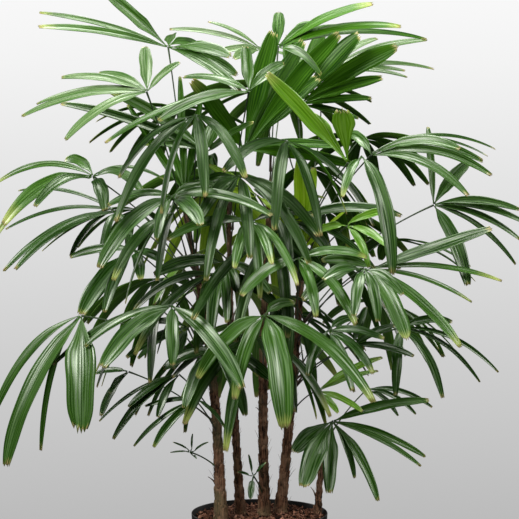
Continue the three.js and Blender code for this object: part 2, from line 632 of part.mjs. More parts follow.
// The stalk of a frond takes the first of its ways that is free.
function growStalk(frond, beads, solids) {
  const cane = CANES[frond.cane];
  const shifts = frond.fork ? [0] : FOOT_SHIFTS;
  const curves = shifts.flatMap((shift) => STALK_SWINGS.map((swing) => stalkCurve(frond, shift, swing)));
  const clear = curves.find((curve) => {
    if (!beads.free(stalkBeads(curve, cane, frond.fork), frond.number, frond.cane)) return false;
    return !frond.fork || solids.free(toSolid(stalkGeometry(curve)), frond.number, frond.mate.number);
  });
  if (!clear) return false;
  frond.stalk = clear;
  beads.add(stalkBeads(clear, cane, frond.fork), frond.number);
  solids.add(toSolid(stalkGeometry(clear)), `${frond.number} stalk`);
  return true;
}

function growLeaflets(frond, beads, solids) {
  frond.blades = [];
  for (let leaf = 0; leaf < frond.leaflets.length; leaf++) {
    for (let attempt = 0; attempt < TRIES; attempt++) {
      const stations = leafletPath(frond, leaf, attempt);
      if (!beads.free(bladeBeads(stations), frond.number)) continue;
      const blade = toSolid(loft(bladeRings(stations)));
      if (!solids.free(blade, frond.number)) continue;
      beads.add(bladeBeads(stations), frond.number);
      solids.add(blade, frond.number);
      frond.blades.push(stations);
      break;
    }
  }
}

// Stalks take their places first, then the leaflets of each frond in turn.
function growFronds() {
  const beads = beadRoom();
  const solids = solidRoom();
  CANES.forEach((cane, i) => {
    beads.add(caneBeads(cane), `cane ${i}`);
    solids.add(toSolid(caneGeometry(cane, 0)), `cane ${i}`);
  });
  const fronds = [];
  const forkOff = (frond, mate) => {
    frond.mate = mate;
    frond.fork = forkPoint(mate);
    return growStalk(frond, beads, solids);
  };
  FRONDS.forEach((row, number) => {
    const frond = frondOf(row, number);
    if (frond.mate) forkOff(frond, fronds[frond.mate - 1]);
    else growStalk(frond, beads, solids);
    fronds.push(frond);
  });
  innerRows().forEach((row, inner) => {
    const frond = frondOf(row, FRONDS.length + inner);
    const alone = (mate) => !mate.mate && !fronds.some((other) => other.mate === mate);
    const mates = fronds.filter((mate) => mate.cane === frond.cane && alone(mate));
    mates.sort((a, b) => Math.abs(a.foot - frond.foot) - Math.abs(b.foot - frond.foot));
    if (mates.some((mate) => forkOff(frond, mate))) fronds.push(frond);
  });
  fronds.forEach((frond) => growLeaflets(frond, beads, solids));
  return fronds;
}

function frondSolid(frond) {
  const whole = toSolid(stalkGeometry(frond.stalk)).add(toSolid(fanGeometry(frond))).simplify(SIMPLIFY);
  return whole.subtract(toSolid(caneGeometry(CANES[frond.cane], CLEARANCE)));
}

// ---- Pot ----

function potGeometry() {
  const profile = [
    [0, 0], [POT_FOOT_RADIUS, 0], [POT_TOP_RADIUS, POT_HEIGHT - POT_RIM_DEPTH],
    [POT_RIM_RADIUS - POT_RIM_SLOPE, POT_HEIGHT - POT_RIM_DEPTH], [POT_RIM_RADIUS, POT_HEIGHT],
    [POT_RIM_RADIUS - POT_WALL, POT_HEIGHT], [POT_TOP_RADIUS, POT_HEIGHT - POT_STEP],
    [POT_FOOT_RADIUS - POT_WALL, POT_FLOOR], [0, POT_FLOOR],
  ];
  const outline = profile.map(([x, y]) => new THREE.Vector2(x, y));
  return new THREE.LatheGeometry(outline, ROUND_SIDES).rotateX(Math.PI / 2);
}

// The potting mix fills the pot, a shade clear of its wall and floor.
function mixGeometry() {
  const floor = POT_FLOOR + CLEARANCE;
  const profile = [[0, floor], [POT_FOOT_RADIUS - POT_WALL - 2 * CLEARANCE, floor],
    [POT_TOP_RADIUS - POT_WALL - 2 * CLEARANCE, MIX_TOP], [0, MIX_TOP]];
  const outline = profile.map(([x, y]) => new THREE.Vector2(x, y));
  return new THREE.LatheGeometry(outline, ROUND_SIDES).rotateX(Math.PI / 2);
}

const palm = new THREE.Group();
function place(name, geometry, material) {
  const mesh = new THREE.Mesh(geometry, material);
  mesh.name = name;
  palm.add(mesh);
}

place('pot', potGeometry(), plastic(POT_BLACK, 0.5));
place('potting_mix', mixGeometry(), plastic(BARK_BROWN, 0.95));
CANES.forEach((cane) => place(cane[0], caneGeometry(cane, 0), plastic(FIBRE_BROWN, 0.9)));
const fronds = growFronds();
fronds.filter((frond) => !frond.mate).forEach((frond, i) => {
  const forked = fronds.filter((other) => other.mate === frond);
  const whole = forked.reduce((solid, other) => solid.add(frondSolid(other)), frondSolid(frond));
  place(`frond_${String(i + 1).padStart(2, '0')}`, toGeometry(whole), plastic(LEAF_GREEN, 0.5));
});

export default palm;
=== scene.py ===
"""A potted lady palm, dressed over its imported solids.

The stalks and leaflets are grown again by the rule of the solids, from the same named sizes, and
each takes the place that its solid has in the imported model. Sizes are in millimetres, as in the
solids' source, and meshes are in metres, +Z up, the front of the plant towards -Y.
"""

import json
import logging
import math
from collections.abc import Sequence
from dataclasses import dataclass
from enum import Enum

import bpy
import numpy as np
from bpy.types import ID, Collection, Material, Mesh, Node, NodeSocket, NodeTree, Object, bpy_prop_collection
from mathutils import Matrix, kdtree

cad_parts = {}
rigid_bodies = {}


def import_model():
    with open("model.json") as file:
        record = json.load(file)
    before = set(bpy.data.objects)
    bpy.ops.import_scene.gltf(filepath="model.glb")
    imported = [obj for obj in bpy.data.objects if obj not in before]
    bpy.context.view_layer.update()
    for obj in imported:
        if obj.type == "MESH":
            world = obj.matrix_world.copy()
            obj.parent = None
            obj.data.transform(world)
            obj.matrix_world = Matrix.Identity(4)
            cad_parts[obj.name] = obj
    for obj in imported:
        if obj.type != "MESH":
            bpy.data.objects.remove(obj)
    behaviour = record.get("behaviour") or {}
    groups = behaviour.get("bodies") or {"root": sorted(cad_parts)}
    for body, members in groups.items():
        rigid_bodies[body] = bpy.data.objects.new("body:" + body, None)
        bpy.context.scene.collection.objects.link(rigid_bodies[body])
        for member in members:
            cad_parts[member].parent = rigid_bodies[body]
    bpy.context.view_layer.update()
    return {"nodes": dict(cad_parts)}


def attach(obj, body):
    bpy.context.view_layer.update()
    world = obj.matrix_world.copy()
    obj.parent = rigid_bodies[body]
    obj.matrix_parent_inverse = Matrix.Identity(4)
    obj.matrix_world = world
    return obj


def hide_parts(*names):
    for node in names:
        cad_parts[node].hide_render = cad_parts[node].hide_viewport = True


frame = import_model()

log = logging.getLogger("lady_palm")
MM = 0.001
UP = np.array([0.0, 0.0, 1.0])

# ---- Sizes shared with the solids, in millimetres and degrees ----

POT_HEIGHT = 240
POT_RIM_RADIUS = 137.5
POT_TOP_RADIUS = 129
POT_FOOT_RADIUS = 100
POT_WALL = 3
POT_FLOOR = 5
POT_RIM_DEPTH = 22
POT_RIM_SLOPE = 2
POT_STEP = 20
MIX_TOP = 230
CLEARANCE = 0.3

CANE_FOOT = MIX_TOP + CLEARANCE
CANE_FLARE = 1.45
CANE_FLARE_HEIGHT = 35

STALK_RADIUS = 2.2
STALK_BEND_AT = 0.45
STALK_ARCH = 0.12
STALK_SWINGS = (0, 0.05, -0.05, 0.1, -0.1, 0.16, -0.16, 0.22, -0.22)
FOOT_SHIFTS = (0, -22, 22, -44, 44)
FORK_AT = 30
FORK_STEP = 5
FORK_OFF_CANE = 7
HUB_RADIUS = 9
HUB_RISE = 2
ROOT_HALF = 1.5
ROOT_SHARE = 0.42

ROOT_STEP = 16
ROOT_RANGE = 280
ROOT_EVENING = 0.5
GAP_LEAST = 14
GAP_MOST = 60

BLADE_STEPS = 24
BLADE_KEEL = 2.8
BLADE_FOLD = 0.16
BLADE_BULGE = 0.14
SIDE_STEADY = 0.2
TWIST_BY = 0.35
WIDTH_SWELL = 0.13
TIP_TAPER = 0.5
TAPER_POWER = 6
ROLL_JITTER = 22
TURN_JITTER = 7
LENGTH_JITTER = 0.14
SAG_JITTER = 0.35
SAG_SHORTENS = 0.3
TRIES = 14
LEAVES_APART = 31
TRIES_APART = 17
WIDER_EACH_TRY = 0.22
TIP_STEP = 3
TIP_STEP_DEEP = 12
SHORTER_FROM_TRY = 8
SHORTER = 0.72


@dataclass(frozen=True)
class Spray:
    """A fan whose leaflets are dealt evenly, each a little off its place."""

    first: float
    last: float
    count: int
    length: float
    sag: float

    def tips(self, frond: "Frond") -> list:
        """Deals the leaflets out.

        Args:
            frond: the frond that they belong to.

        Returns:
            Where their tips are seen from its hub, in millimetres.
        """
        draws = Draws(frond.number * LEAVES_APART)
        tips = []
        for leaf in range(self.count):
            turn = mix(self.first, self.last, leaf / (self.count - 1)) + TURN_JITTER * draws.spread()
            long = self.length * (1 + LENGTH_JITTER * draws.spread())
            drop = self.sag * (1 + SAG_JITTER * draws.spread())
            flat = frond.way_at(math.radians(turn)) * long * (1 - SAG_SHORTENS * drop)
            tips.append(flat - UP * long * drop)
        return tips


# Each cane: node, foot (x, y), radius there, radius at the tip, tip (x, y, z), bow (x, y).
CANES = (
    ("cane_left", (-76, -34), 10.5, 4, (-150, -10, 850), (16, 6)),
    ("cane_middle_left", (-38, 26), 8, 3.5, (-62, 30, 880), (-6, 8)),
    ("cane_middle", (10, 18), 10, 4, (22, 25, 910), (-8, -4)),
    ("cane_right", (42, 44), 10, 4, (92, 10, 890), (6, 4)),
    ("cane_small", (118, 30), 5.4, 3.2, (139, 2, 408), (-4, 4)),
)

# Each frond: cane, height of its foot on the cane, hub (x, y, z), the way its upper face looks
# (compass turn and tilt up), leaflet width, arch of the leaflets as a share of their length, where
# each leaflet's tip is seen from the hub (x, y, z, and a width and an arch of its own if it has
# them), and the frond whose stalk it forks from.
FRONDS = (
    (0, 790, (-182, 0, 1172), -90, 48, 25, 0.12, (
      (-130, -20, 112, 28, 0.02), (-262, 30, 72, 14, 0.08), (-256, -30, 36, 20, 0.08), (4, 90, 36),
      (60, 80, 14), (128, -60, -26, 30), (146, -100, -100), (140, -20, -60, 28))),
    (0, 770, (-214, -150, 1071), -90, 34, 20, 0.15, (
      (-6, 40, 92, 26), (-166, 20, 28), (-100, 60, 40), (-236, -10, -48), (-214, 30, -22, 14),
      (-148, -60, -96, 24), (64, 20, 58, 16))),
    (0, 740, (-107, -60, 961), -90, 35, 26, 0.1, (
      (-190, -30, 120), (-281, -20, 93, 22), (-132, 40, 16, 16), (-94, -70, -30, 30), (30, 50, 74, 32),
      (98, -40, 56, 22))),
    (1, 820, (-20, -120, 1074), -90, 34, 24, 0.14, (
      (-8, 30, 92, 26), (-268, -90, -104, 20), (-168, -110, -64, 22), (-130, 40, 30), (70, 60, 60))),
    (1, 760, (-29, -20, 966), -90, 20, 36, 0.08, (
      (-142, -90, 168, 34), (58, 0, 238, 42), (120, 60, 226, 36), (196, 30, 228, 38),
      (150, 50, 150), (316, -50, -50, 28),
      (190, 30, 14, 22))),
    (2, 850, (38, 60, 1180), -90, 38, 26, 0.14, (
      (2, 40, 76, 26), (72, 10, 54, 30), (194, -10, 84, 28), (252, -20, 36, 30), (310, 30, 18, 18),
      (190, 60, 44), (118, -130, -96, 18))),
    (3, 830, (78, 80, 1060), -90, 30, 34, 0.08, (
      (-20, 20, 150), (112, 0, 158, 46), (58, 60, 172, 34), (206, -20, 120, 40), (176, 0, 58, 26),
      (194, 40, 2, 18), (130, 60, -22, 16))),
    (3, 840, (125, 160, 1130), -90, 50, 20, 0.14, (
      (250, 60, 18, 16), (186, 0, 8, 16), (182, -40, -8, 16), (128, 60, 84), (230, 20, 76, 22),
      (-100, 90, 60), (60, 200, 20), (-60, 190, 0))),
    (3, 780, (169, -130, 937), -90, 12, 30, 0.04, (
      (-158, -30, 170), (-14, -40, 104, 48), (-70, 30, 96))),
    (3, 760, (217, -90, 954), -90, 38, 22, 0.25, (
      (166, -60, 8), (266, 20, 4, 12), (246, 60, 0, 12), (178, -80, -82, 20), (218, 0, -14, 20),
      (228, -40, -42, 20), (-44, 60, 44))),
    (3, 665, (345, -30, 857), -90, 25, 18, 0.16, (
      (-8, 40, 158, 16), (74, 20, 86, 26), (168, -20, -10), (182, 0, -36, 16), (176, 20, -70, 14),
      (170, 40, -120, 12), (60, -60, -160, 30, 0.06))),
    (3, 600, (221, -100, 737), -90, 32, 20, 0.12, (
      (224, -40, 76, 28, 0), (250, 0, -28, 14), (194, 20, -70, 12), (54, -110, -134, 38, 0.02),
      (162, -60, -152, 26, 0.06),
      (-106, -60, 14, 22))),
    (3, 500, (281, -20, 613), -90, 36, 18, 0.22, (
      (102, -20, 12), (196, 0, -90, 10), (162, 20, -112, 10), (-14, -50, -132, 22), (80, -40, -138))),
    (3, 480, (184, -80, 584), -90, 30, 17, 0.12, (
      (26, 20, 74), (80, -20, 40), (120, 10, -24), (-50, -30, 30))),
    (3, 430, (113, -60, 492), -90, 30, 16, 0.1, (
      (130, 0, 66), (124, 30, 36, 12), (40, -40, -40), (90, -20, -40))),
    (4, 380, (219, 40, 483), -90, 34, 11, 0.2, (
      (100, 0, -52), (134, 20, -44), (14, -30, -30), (60, -40, -50))),
    (4, 395, (145, -40, 429), -90, 32, 20, 0.1, (
      (190, -20, 44), (184, -10, -70, 16), (172, -40, -84, 12), (86, -60, -150, 20), (42, -30, -110, 14),
      (-10, -70, -134, 30), (-62, -110, -116, 42), (-80, -30, -60, 34))),
    (2, 700, (-15, -160, 826), -90, 36, 20, 0.2, (
      (-32, -90, -88, 22), (-160, -40, -36), (38, -100, -80), (86, -80, -120, 18), (120, 20, 10),
      (16, -60, -146))),
    (2, 720, (29, -60, 850), -90, 36, 20, 0.2, (
      (-60, -80, -60), (30, -90, -110, 26), (80, -60, -30), (-40, 40, 40), (100, 10, 10))),
    (3, 700, (66, -90, 827), -90, 36, 20, 0.2, (
      (212, 0, 8, 24), (144, -40, -96, 12), (-50, -60, -40), (80, -80, -80))),
    (3, 600, (74, -190, 757), -90, 36, 24, 0.2, (
      (-110, -60, -70), (30, -60, -110), (104, -60, -124, 26), (130, 0, 0))),
    (3, 700, (168, -120, 816), -90, 34, 16, 0.16, (
      (92, 0, 30), (40, -40, -80), (-60, 20, -10), (76, -50, -40))),
    (3, 600, (194, -210, 739), -90, 36, 22, 0.2, (
      (-22, -60, -88), (24, -40, -100), (-116, 20, -64, 30), (-80, -60, -20), (70, -40, -50))),
    (0, 720, (-324, -80, 913), -90, 36, 22, 0.3, (
      (-164, -70, -96, 30), (-196, 40, -14, 14), (-186, -30, -120, 18), (-64, 60, 32), (104, -90, -34, 28),
      (140, 20, -8, 12), (-102, -60, -56), (30, -60, -70, 28))),
    (0, 690, (-293, 40, 847), -90, 36, 20, 0.18, (
      (-222, -30, -124), (-194, -60, -120, 24), (-226, 20, -40, 12), (-206, 60, 40, 10), (-92, 10, -96),
      (40, -60, -80), (-20, -70, -110))),
    (0, 700, (-165, -180, 873), -90, 36, 22, 0.2, (
      (-130, -80, -136, 32), (60, -90, -56, 32), (-120, 20, -10), (-26, -40, -84), (190, -40, -38),
      (90, 50, 20))),
    (0, 620, (-246, -60, 769), -90, 36, 24, 0.16, (
      (-100, -60, -128, 36, 0.08), (-50, -30, -118), (-130, 20, -16, 18), (18, -60, -58), (60, -40, -24))),
    (0, 540, (-340, -140, 645), -90, 40, 24, 0.2, (
      (8, -80, -216, 62, 0.12), (-138, -50, -284, 38, 0.08), (-170, 10, -190, 24), (-88, 60, -270, 16))),
    (0, 540, (-166, -190, 669), -90, 36, 26, 0.16, (
      (-124, -80, -114, 36), (-160, 10, -80, 16), (136, -90, -150, 32), (-230, 40, -120, 14),
      (6, -50, -112))),
    (2, 520, (9, -200, 651), -90, 38, 28, 0.2, (
      (36, -90, -206, 50), (-126, -60, -114), (202, -60, -160, 32), (-56, -70, -150), (60, 40, 20))),
    (0, 420, (-261, -20, 525), -90, 36, 14, 0.14, (
      (-54, -60, -88, 26), (-70, 20, -6), (-34, -40, -40))),
    (0, 430, (-157, -80, 526), -90, 34, 17, 0.14, (
      (-126, -40, -122), (-154, 20, -90, 8), (-100, 0, -56), (-40, -40, -80))),
    (0, 400, (-126, -110, 481), -90, 34, 14, 0.1, (
      (-78, -30, -90, 16), (-118, 0, -92, 10), (-98, 20, -16, 10), (60, 20, -60, 10))),
    (0, 470, (-142, -60, 617), -90, 34, 18, 0.14, (
      (-114, 0, -52), (-100, 30, -66), (-24, -50, -80, 24), (60, -40, -90), (-70, 10, 10))),
    (1, 600, (-68, -110, 747), -90, 36, 24, 0.2, (
      (-26, -90, -160), (8, -80, -116, 20), (34, -60, -62), (-136, -30, -26, 28), (90, -50, -60))),
    (3, 480, (133, -130, 617), -90, 34, 22, 0.16, (
      (108, 0, -18), (60, 50, 20), (40, -80, -110), (-42, -40, -86), (80, -50, -80))),
    (1, 460, (-86, -150, 581), -90, 36, 26, 0.16, (
      (-54, -70, -106), (60, -60, -120), (110, 0, -60), (-100, 10, -40))),
    (3, 700, (83, -60, 767), -90, 8, 26, 0, (
      (-8, 10, 186), (40, 24, 158), (110, 0, 150, 22))),
    (3, 700, (-4, -100, 875), -90, 30, 16, 0.06, (
      (-80, 0, 60), (-90, 10, 16), (60, -40, -60)), 38),
    (0, 700, (-146, -44, 880), -90, 4, 16, 0, (
      (-114, 0, 176), (-40, 20, 140), (-12, 30, 234), (32, 10, 196)), 26),
    (3, 720, (194, -150, 949), -90, 38, 28, 0.2, (
      (53, -70, -225, 32), (-40, -50, -80, 18))),
    (2, 850, (4, 20, 1172), -90, 40, 16, 0.12, (
      (-108, 0, 52), (-188, 40, 42, 12), (-92, -20, -14), (-56, -70, -30, 22)), 6),
    (0, 330, (-136, -70, 372), -90, 35, 8, 0.1, (
      (-34, 0, 20), (36, 0, 20), (14, -30, -8), (-40, 10, -2), (4, 20, 34))),
    (2, 265, (-12, -30, 318), -90, 30, 10, 0.1, (
      (-6, -20, -44, 14), (-10, 10, 42), (26, 0, 28), (-32, 0, 8))),
    (0, 780, (-175, 200, 1065), 115, 68, 25, 0.16, Spray(-180, 0, 8, 190, 0.2)),
    (2, 840, (50, 210, 1110), 90, 66, 25, 0.16, Spray(-190, 10, 8, 215, 0.25)),
    (3, 790, (215, 190, 1000), 60, 68, 25, 0.16, Spray(-180, 0, 8, 190, 0.2)),
    (0, 650, (-265, 225, 850), 125, 70, 25, 0.18, Spray(-175, -5, 7, 195, 0.22)),
    (1, 720, (-90, 250, 930), 105, 60, 26, 0.2, Spray(-175, -5, 8, 210, 0.35)),
    (3, 640, (140, 260, 850), 75, 60, 26, 0.2, Spray(-175, -5, 8, 205, 0.35)),
    (3, 600, (275, 230, 785), 55, 70, 25, 0.18, Spray(-175, -5, 7, 185, 0.22)),
    (0, 520, (-220, 230, 700), 125, 62, 26, 0.2, Spray(-170, -10, 7, 210, 0.35)),
    (2, 460, (0, 250, 600), 95, 60, 26, 0.2, Spray(-170, -10, 7, 210, 0.4)),
    (3, 480, (250, 210, 650), 45, 62, 25, 0.2, Spray(-170, -10, 7, 200, 0.35)),
)

TALL_CANES = 4
INNER_COUNT = 21
INNER_LOW = 560
INNER_HIGH = 1030
INNER_NEAR = 70
INNER_FAR = 190
INNER_BELOW_HUB = 120
INNER_TURN = 137.5
INNER_STRIDE = 5
INNER_TILT = 55
INNER_WIDTH = 25
INNER_ARCH = 0.2
INNER_SPRAY = Spray(-172, -8, 6, 195, 0.45)
CLUMP = (-20, 20)

# ---- Small tools ----


class Draws:
    """The repeatable stream of numbers from 0 to 1 that the solids are grown with."""

    STRIDE = 7919
    START = 104729
    FACTOR = 16807
    PRIME = 2147483647

    def __init__(self, seed: int) -> None:
        """Starts the stream.

        Args:
            seed: any whole number; the same one gives the same stream.
        """
        self.state = (seed * self.STRIDE + self.START) % self.PRIME

    def next(self) -> float:
        """Returns the next number."""
        self.state = (self.state * self.FACTOR) % self.PRIME
        return self.state / self.PRIME

    def spread(self) -> float:
        """Returns the next number, moved to between -1 and 1."""
        return 2 * self.next() - 1


def unit(vector: np.ndarray) -> np.ndarray:
    """Returns the vector at length one."""
    return vector / np.linalg.norm(vector)


def rows_unit(rows: np.ndarray) -> np.ndarray:
    """Returns every row at length one."""
    return rows / np.linalg.norm(rows, axis=1, keepdims=True)


def mix(a: float, b: float, share: float) -> float:
    """Returns the value a share of the way from a to b."""
    return a + (b - a) * share


def quadratic(start: np.ndarray, bend: np.ndarray, end: np.ndarray, t: np.ndarray) -> np.ndarray:
    """Returns the points of a quadratic curve at its own parameter."""
    return (1 - t) ** 2 * start + 2 * (1 - t) * t * bend + t**2 * end


# ---- The rule that the solids are grown by ----


@dataclass(frozen=True)
class Cane:
    """One cane's middle line and thickness."""

    node: str
    foot: tuple
    foot_radius: float
    tip_radius: float
    tip: tuple
    bow: tuple

    def at(self, t: float) -> tuple[np.ndarray, float]:
        """Finds a place on the cane.

        Args:
            t: share of the cane's height, from 0 at the foot to 1 at the tip.

        Returns:
            The middle of the cane there, and its radius, in millimetres.
        """
        swing = math.sin(math.pi * t)
        place = np.array([
            mix(self.foot[0], self.tip[0], t) + self.bow[0] * swing,
            mix(self.foot[1], self.tip[1], t) + self.bow[1] * swing,
            mix(CANE_FOOT, self.tip[2], t),
        ])
        above = (self.tip[2] - CANE_FOOT) * t
        flare = 1 + (CANE_FLARE - 1) * math.exp(-above / CANE_FLARE_HEIGHT)
        return place, mix(self.foot_radius, self.tip_radius, t) * flare

    def at_height(self, height: float) -> tuple[np.ndarray, float]:
        """Returns the middle and radius at a height in millimetres."""
        return self.at((height - CANE_FOOT) / (self.tip[2] - CANE_FOOT))


class Arc:
    """A stalk's middle line: a quadratic curve read by its own length."""

    DIVISIONS = 200

    def __init__(self, start: np.ndarray, bend: np.ndarray, end: np.ndarray) -> None:
        """Measures the curve.

        Args:
            start: where the curve begins, in millimetres.
            bend: the point that it leans towards.
            end: where it ends.
        """
        self.points = (start, bend, end)
        t = np.linspace(0, 1, self.DIVISIONS + 1)
        steps = np.linalg.norm(np.diff(self.at(t), axis=0), axis=1)
        self.lengths = np.concatenate([[0], np.cumsum(steps)])
        self.length = float(self.lengths[-1])

    def at(self, t: np.ndarray) -> np.ndarray:
        """Returns the points at the curve's own parameter."""
        return quadratic(*self.points, np.atleast_1d(t)[:, None])

    def spaced(self, shares: np.ndarray) -> np.ndarray:
        """Returns the points at shares of the curve's length."""
        t = np.interp(np.asarray(shares) * self.length, self.lengths, np.linspace(0, 1, self.DIVISIONS + 1))
        return self.at(t)


@dataclass
class Leaflet:
    """One leaflet's run: its middle line, cross direction, upper normal and half width."""

    middle: np.ndarray
    side: np.ndarray
    normal: np.ndarray
    half: np.ndarray
    full: np.ndarray
    share: np.ndarray
    seed: int


def bend_of(offset: np.ndarray, arch: float) -> np.ndarray:
    """Finds where a leaflet's arch bends: above the straight way, and outwards where it hangs.

    Args:
        offset: the leaflet's tip, seen from its hub.
        arch: how far above, as a share of the leaflet's length.

    Returns:
        The bend, seen from the hub.
    """
    outwards = unit(np.array([offset[0], offset[1], 0.0]))
    bend = offset * 0.5 + UP * arch * np.linalg.norm(offset)
    return bend + outwards * BLADE_BULGE * max(0.0, -offset[2])


@dataclass
class Leaf:
    """What a frond knows of one leaflet: its tip seen from the hub, and its turn and room there."""

    offset: np.ndarray
    width: float
    arch: float
    turn: float
    gap: float = math.radians(GAP_MOST)


@dataclass
class Frond:
    """One fan leaf as the table gives it, with the stalk and leaflets that it has grown."""

    number: int
    cane: Cane
    foot: float
    hub: np.ndarray
    facing: float
    tilt: float
    width: float
    arch: float
    tips: "tuple | Spray"
    mate: "Frond | None" = None
    node: str = ""
    stalk: "Arc | None" = None
    blades: list = None

    def __post_init__(self) -> None:
        """Works out the plane of the fan and the order of its leaflets."""
        turn, up = math.radians(self.facing), math.radians(self.tilt)
        flat = math.cos(up)
        self.normal = np.array([flat * math.cos(turn), flat * math.sin(turn), math.sin(up)])
        self.level = np.array([-math.sin(turn), math.cos(turn), 0.0])
        self.rise = np.cross(self.normal, self.level)
        self.blades = []
        tips = self.tips.tips(self) if isinstance(self.tips, Spray) else self.tips
        self.leaves = [self.leaf_of(*tip) for tip in tips]
        self.order_leaves()

    def way_at(self, turn: float) -> np.ndarray:
        """Returns the way that lies at a turn in the plane of the fan."""
        return self.level * math.cos(turn) + self.rise * math.sin(turn)

    def leaf_of(self, x: float, y: float, z: float, width: float = 0, arch: float | None = None) -> Leaf:
        """Takes one leaflet from the table.

        Args:
            x: the tip seen from the hub, to the right.
            y: the same, to the back.
            z: the same, upwards.
            width: the leaflet's own width, or 0 for the fan's.
            arch: the leaflet's own arch, or None for the fan's.

        Returns:
            The leaflet, turned at the hub towards its bend.
        """
        offset = np.array([x, y, z], float)
        arch = self.arch if arch is None else arch
        bend = bend_of(offset, arch)
        return Leaf(offset, width or self.width, arch, math.atan2(bend @ self.rise, bend @ self.level))

    def order_leaves(self) -> None:
        """Puts the leaflets in order round the hub, spreads crowded ones and notes the gaps."""
        leaves = self.leaves
        middle = math.atan2(*(sum(part(leaf.turn) for leaf in leaves) for part in (math.sin, math.cos)))
        for leaf in leaves:
            turn = leaf.turn - middle
            leaf.turn = turn - math.tau * math.floor(turn / math.tau + 0.5)
        leaves.sort(key=lambda leaf: leaf.turn)
        first, last, steps = leaves[0].turn, leaves[-1].turn, len(leaves) - 1
        span = max(last - first, math.radians(ROOT_STEP) * steps)
        squeeze = min(1, math.radians(ROOT_RANGE) / span)
        for number, leaf in enumerate(leaves):
            even = (first + last) / 2 + span * (number / steps - 0.5)
            leaf.turn = middle + squeeze * mix(leaf.turn, even, ROOT_EVENING)
        for one, other in zip(leaves, leaves[1:]):
            gap = abs(other.turn - one.turn)
            one.gap, other.gap = min(one.gap, gap), min(other.gap, gap)

    def stalk_way(self, start: np.ndarray, swing: float) -> Arc:
        """Lays the arch of the stalk.

        Args:
            start: where it leaves the cane or another stalk.
            swing: how far it swings aside, as a share of its reach.

        Returns:
            The arch from there to the hub.
        """
        reach = float(np.linalg.norm(self.hub - start))
        aside = unit(np.cross(UP, self.hub - start))
        bend = mix(start, self.hub, STALK_BEND_AT) + UP * reach * STALK_ARCH + aside * reach * swing
        return Arc(start, bend, self.hub)

    def fork_point(self) -> np.ndarray:
        """Finds where a second stalk leaves this one.

        Returns:
            The first point on this stalk that is clear of the cane.
        """
        along = FORK_AT
        while True:
            point = self.stalk.spaced([along / self.stalk.length])[0]
            place, radius = self.cane.at_height(min(point[2], self.cane.tip[2]))
            if np.linalg.norm(point - place) > radius + FORK_OFF_CANE:
                return point
            along += FORK_STEP

    def leaflet(self, number: int, attempt: int) -> Leaflet:
        """Grows one leaflet by one of its ways.

        Args:
            number: the leaflet's place in the fan, from 0.
            attempt: how many ways were tried before this one.

        Returns:
            The leaflet's stations, in millimetres.
        """
        seed = (self.number * LEAVES_APART + number) * TRIES_APART + attempt
        draws = Draws(seed)
        leaf = self.leaves[number]
        roll = math.radians(ROLL_JITTER * draws.spread() * (1 + WIDER_EACH_TRY * attempt))
        moved = np.array([step * draws.spread() for step in (TIP_STEP, TIP_STEP_DEEP, TIP_STEP)])
        reach = (leaf.offset + moved * attempt) * (1 if attempt < SHORTER_FROM_TRY else SHORTER)
        start = self.way_at(leaf.turn)
        root = self.hub + start * HUB_RADIUS
        bend = self.hub + bend_of(reach, leaf.arch)
        tip = self.hub + reach
        t = np.linspace(0, 1, BLADE_STEPS + 1)[:, None]
        middle = quadratic(root, bend, tip, t)
        along = rows_unit((1 - t) * (bend - root) + t * (tip - bend))
        side = np.cross(self.normal, along) + np.cross(self.normal, start) * SIDE_STEADY
        side = rows_unit(side - along * np.sum(side * along, axis=1, keepdims=True))
        twist = roll * np.minimum(1, t / TWIST_BY)
        side = side * np.cos(twist) + np.cross(along, side) * np.sin(twist)
        share = t[:, 0]
        swell = (1 - np.exp(-share / WIDTH_SWELL)) * (1 - TIP_TAPER * share**TAPER_POWER)
        room = ROOT_SHARE * np.linalg.norm(middle - self.hub, axis=1) * max(leaf.gap, math.radians(GAP_LEAST))
        root_half = min(ROOT_HALF, ROOT_SHARE * HUB_RADIUS * leaf.gap)
        half = np.maximum(root_half, np.minimum(room, leaf.width * swell / 2))
        return Leaflet(middle, side, np.cross(along, side), half, leaf.width * swell / 2, share, seed)


class PackedNode:
    """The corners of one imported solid, to see which way a stalk or leaflet took."""

    TOUCH = 0.4

    def __init__(self, name: str) -> None:
        """Reads the node's corners.

        Args:
            name: the CAD node's name.
        """
        corners = frame["nodes"][name].data.vertices
        self.tree = kdtree.KDTree(len(corners))
        for index, corner in enumerate(corners):
            self.tree.insert(corner.co / MM, index)
        self.tree.balance()

    def distance(self, point: np.ndarray) -> float:
        """Returns how far the nearest corner is from a point, in millimetres."""
        return self.tree.find(point)[2]

    def holds(self, points: list) -> bool:
        """Returns whether every point is one of the corners."""
        return all(self.distance(point) < self.TOUCH for point in points)


